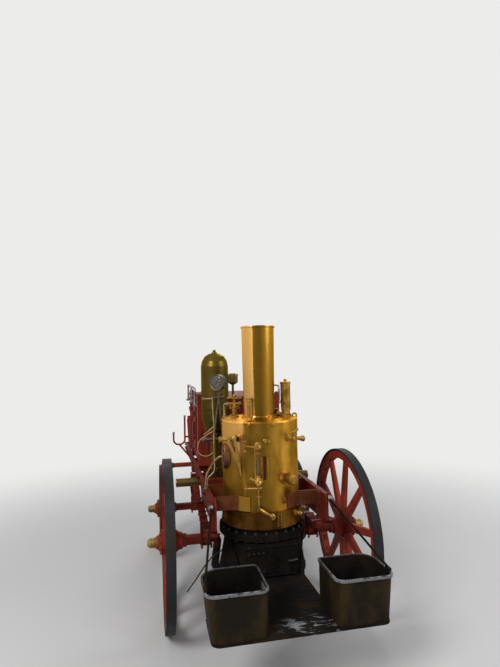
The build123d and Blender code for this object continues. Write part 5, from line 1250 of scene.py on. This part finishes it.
def puffed(name, shell, buttons, floor, ceiling):
    """A pad whose cover is blown up as cloth, held at its buttons and kept off what it lies on."""
    held_height, held_radius, most_move, frames = 0.010, 0.010, 0.008, 20
    mesh = bpy.data.meshes.new(f"{name}_cover")
    mesh.from_pydata(shell[0], [], shell[1])
    mesh.validate()
    cover = placed(f"{name}_cover", mesh)
    even = cover.modifiers.new("even", "REMESH")
    even.mode = "VOXEL"
    even.voxel_size = 0.0065
    start = frozen(cover)
    pad = placed(f"{name}_pad", start)
    held = pad.vertex_groups.new(name="held")
    before = [vertex.co.copy() for vertex in start.vertices]
    for index, (x, y, z) in enumerate(before):
        near = any((x - bx) ** 2 + (y - by) ** 2 < held_radius ** 2 for bx, by in buttons)
        if near or z < floor + held_height:
            held.add([index], 1.0, "REPLACE")
    cloth = pad.modifiers.new("cloth", "CLOTH")
    cloth.settings.vertex_group_mass = "held"
    cloth.settings.use_pressure = True
    cloth.settings.uniform_pressure_force = 4.0
    cloth.settings.effector_weights.gravity = 0.0
    cloth.point_cache.frame_start, cloth.point_cache.frame_end = 1, frames
    for number in range(1, frames + 1):
        bpy.context.scene.frame_set(number)
    blown = bpy.data.meshes.new_from_object(pad.evaluated_get(bpy.context.evaluated_depsgraph_get()))
    for vertex, home in zip(blown.vertices, before):
        move = vertex.co - home
        spot = home + move * min(1.0, most_move / max(move.length, 1e-9))
        vertex.co = (spot.x, spot.y, min(max(spot.z, floor), ceiling + 0.004))
    bpy.context.scene.frame_set(1)
    bpy.data.objects.remove(pad)
    smooth = placed(f"{name}_blown", blown)
    finer = smooth.modifiers.new("finer", "SUBSURF")
    finer.levels = finer.render_levels = 1
    made = frozen(smooth)
    made.name = name
    made.shade_smooth()
    made.materials.clear()
    made.materials.append(M["leather"])
    return placed(name, made)


# Bunkers and footplate

def bunker_ring(side, z, outside, shrink):
    """The rounded outline of one bunker at a height, drawn in all round; it runs anticlockwise."""
    near, far = REAR - 984 + shrink, REAR - 682 - shrink
    inner, outer = side * (176 + shrink), side * (outside - shrink)
    corners = [Vector((x, y, z)) for x, y in ((inner, near), (outer, near), (outer, far), (inner, far))]
    path = []
    for k, (p, bend) in enumerate(zip(corners, (46, 46, 100, 24))):
        before = (corners[k - 1] - p).normalized() * (bend - shrink)
        after = (corners[(k + 1) % 4] - p).normalized() * (bend - shrink)
        path += [p + before * (1 - sin(pi / 16 * j)) + after * (1 - cos(pi / 16 * j)) for j in range(9)]
    return path if side > 0 else path[::-1]


class FIRE_OT_bunkers(bpy.types.Operator):
    """Add the beads, worn and with a painted highlight on their near side, and the rivets and bracket of the bunkers"""
    bl_idname = "fire.bunkers"
    bl_label = "Bunkers"

    def execute(self, context):
        near = REAR - 984
        bead = context.scene.engine_sizes.bunker_bead / MM
        joined("bunker_beads", "bright_bead", [
            tube(bunker_ring(side, 609.4, 482, 0), bead, 10, True) for side in SIDES])
        rivets, shade_linings, eyes = [], [], []
        for side in SIDES:
            rivets += [((side * (205 + 26 * k), near - 0.5, 398), BACK, 1) for k in range(10)]
            rivets += [((side * x, near + 45 + 24 * k, 398), (side * way, 0, 0), 1)
                       for k in range(8) for x, way in ((175.5, -1), (461.8, 1))]
            rivets += [((side * 232, near - 0.5, 415 + 26 * k), BACK, 0.9) for k in range(7)]
            # A soot-black lining darkens the inner walls: painted shade inside the bunkers
            rings = [bunker_ring(side, z, outside, shrink) for z, outside, shrink in (
                (389.4, 460, 4.4), (606, 481.6, 4.4), (606, 481.6, 5.2), (390.4, 460, 5.2))]
            size = len(rings[0])
            faces = [[r + k, r + (k + 1) % size, r + size + (k + 1) % size, r + size + k]
                     for r in (0, size, 2 * size) for k in range(size)]
            faces += [list(range(size))[::-1], [3 * size + k for k in range(size)]]
            shade_linings.append((sum(rings, []), faces))
            eyes.append(hollow((9.2, -8, 15.5, -8, 15.5, 8, 9.2, 8), (side * 375, REAR - 358, 835), (1, 0, 0), 18))
            eyes.append(lathe((0, 6, 9, 4, 12.5, 0, 12.5, -6), (side * 392.5, REAR - 358, 835), (side, 0, 0), 16))
        joined("bunker_shade_linings", "soot", shade_linings, smooth=30)
        fastenings("bunker_rivets", "bunker", "rivet", rivets, 5.2, 3.6)
        # A bracket in the left bunker's inner corner
        x, y = -181.5, near + 60
        hook = [(x - 10, y + 5, 590), (x - 22, y + 20, 560), (x - 10, y + 40, 530), (x - 22, y + 60, 500)]
        joined("bunker_bracket", "bright_bead", [slab((x - 1, y - 20, 470), (x - 7, y + 75, 596), 2), tube(hook, 4, 8)])
        joined("stay_eyes", "steel", eyes)
        return {"FINISHED"}


# Stage

class FIRE_OT_stage(bpy.types.Operator):
    """Add the floor, the lamps and the camera"""
    bl_idname = "fire.stage"
    bl_label = "Build the stage"

    def execute(self, context):
        stage = context.scene.engine_stage
        shade_of = stage.floor_shade
        n = Nodes("studio_floor")
        n.finish(n.blend(n.noise(0.6, 2).ramp(0.3, 0.7), shade((1.0, 0.995, 0.98), shade_of),
                         shade((0.98, 0.975, 0.96), shade_of)))
        n.shader.inputs["Roughness"].default_value = 0.9
        away = Wire(n.tree, n.add("VectorMath", {0: n.where}, operation="LENGTH").outputs["Value"])
        seen = Wire(n.tree, n.add("LightPath").outputs["Is Camera Ray"])
        haze = n.add("Emission", {"Color": BACKDROP}).outputs[0]
        fade = n.add("MixShader", {0: seen * away.ramp(1.8, 5.5), 1: n.shader.outputs[0], 2: haze})
        n.tree.links.new(fade.outputs[0], n.tree.nodes["Material Output"].inputs["Surface"])
        reach, level = 60.0, -0.0005
        mesh = bpy.data.meshes.new("studio_floor")
        corners = ((-reach, -reach), (reach, -reach), (reach, reach), (-reach, reach))
        mesh.from_pydata([(x, y, level) for x, y in corners], [], [(0, 1, 2, 3)])
        mesh.materials.append(n.material)
        placed("studio_floor", mesh)

        lamps = [
            # name, place, aims at, power share, size
            ("key", (-5.2, -5.6, 6.4), (0.0, -0.4, 0.7), 1.0, 3.6),
            ("fill", (6.4, -4.4, 4.2), (0.0, -0.2, 0.7), 0.45, 4.5),
            ("rim", (1.8, 7.0, 6.2), (0.0, 0.4, 0.8), 0.32, 4.0),
        ]
        for name, place, aim, share, size in lamps:
            data = bpy.data.lights.new(name, "AREA")
            data.energy = stage.key_power * share
            data.shape = "DISK"
            data.size = size
            lamp = placed(name, data)
            lamp.location = place
            lamp.rotation_euler = (Vector(aim) - Vector(place)).to_track_quat("-Z", "Y").to_euler()

        world = bpy.data.worlds.new("studio")
        world.use_nodes = True
        tree = world.node_tree
        tree.nodes.clear()
        ray = add_node(tree, "ShaderNodeLightPath").outputs
        seen = Wire(tree, ray["Is Camera Ray"])
        for kind in ("Is Transmission Ray", "Is Glossy Ray"):
            seen = seen.math("MAXIMUM", ray[kind])
        soft, pale = (add_node(tree, "ShaderNodeBackground", {"Color": color, "Strength": strength}).outputs[0]
                      for color, strength in (((0.80, 0.82, 0.86, 1), 0.55), (BACKDROP, 1.0)))
        mix = add_node(tree, "ShaderNodeMixShader", {0: seen, 1: soft, 2: pale})
        add_node(tree, "ShaderNodeOutputWorld", {0: mix.outputs[0]})
        context.scene.world = world
        context.scene.view_settings.view_transform = "Standard"

        # The camera was fitted to the photograph: its focal length in pixels, of a frame 500 pixels wide
        focal, frame_width, sensor = 478.0, 500.0, 36.0
        yaw, pitch, roll = radians(11.85), radians(3.48), radians(-1.17)
        data = bpy.data.cameras.new("camera")
        data.sensor_fit = "HORIZONTAL"
        data.sensor_width = sensor
        data.lens = focal / frame_width * sensor
        data.clip_end = 200.0
        camera = placed("camera", data)
        look = Vector((sin(yaw) * cos(pitch), cos(yaw) * cos(pitch), sin(pitch)))
        right = look.cross(Vector(UP)).normalized()
        up = right.cross(look)
        right, up = right * cos(roll) + up * sin(roll), up * cos(roll) - right * sin(roll)
        place = Matrix.Translation((-0.7315, REAR * MM - 3.2926, 1.7057))
        camera.matrix_world = place @ Matrix((right, up, -look)).transposed().to_4x4()
        context.scene.camera = camera
        return {"FINISHED"}


class FIRE_PT_panel(bpy.types.Panel):
    """Lists the steps that dress the engine"""
    bl_idname = "FIRE_PT_panel"
    bl_label = "Fire engine"
    bl_space_type = "VIEW_3D"
    bl_region_type = "UI"
    bl_category = "Fire engine"

    def draw(self, context):
        column = self.layout.column()
        for name, group in GROUPS.items():
            for prop in group.__annotations__:
                column.prop(getattr(context.scene, name), prop)
        for operator in OPERATORS:
            column.operator(operator.bl_idname)


GROUPS = {"engine_finish": EngineFinish, "engine_sizes": EngineSizes, "engine_stage": EngineStage}
OPERATORS = (FIRE_OT_finishes, FIRE_OT_wheels, FIRE_OT_springs, FIRE_OT_frame, FIRE_OT_boiler, FIRE_OT_fire_door,
             FIRE_OT_fittings, FIRE_OT_gauge, FIRE_OT_engine, FIRE_OT_body, FIRE_OT_bunkers, FIRE_OT_stage)


def register():
    for cls in (*GROUPS.values(), *OPERATORS, FIRE_PT_panel):
        bpy.utils.register_class(cls)
    for name, cls in GROUPS.items():
        setattr(bpy.types.Scene, name, bpy.props.PointerProperty(type=cls))


def unregister():
    for name in GROUPS:
        delattr(bpy.types.Scene, name)
    for cls in (FIRE_PT_panel, *reversed(OPERATORS), *reversed(tuple(GROUPS.values()))):
        bpy.utils.unregister_class(cls)


def main():
    register()
    for operator in OPERATORS:
        group, step = operator.bl_idname.split(".")
        getattr(getattr(bpy.ops, group), step)()


if __name__ == "__main__":
    main()
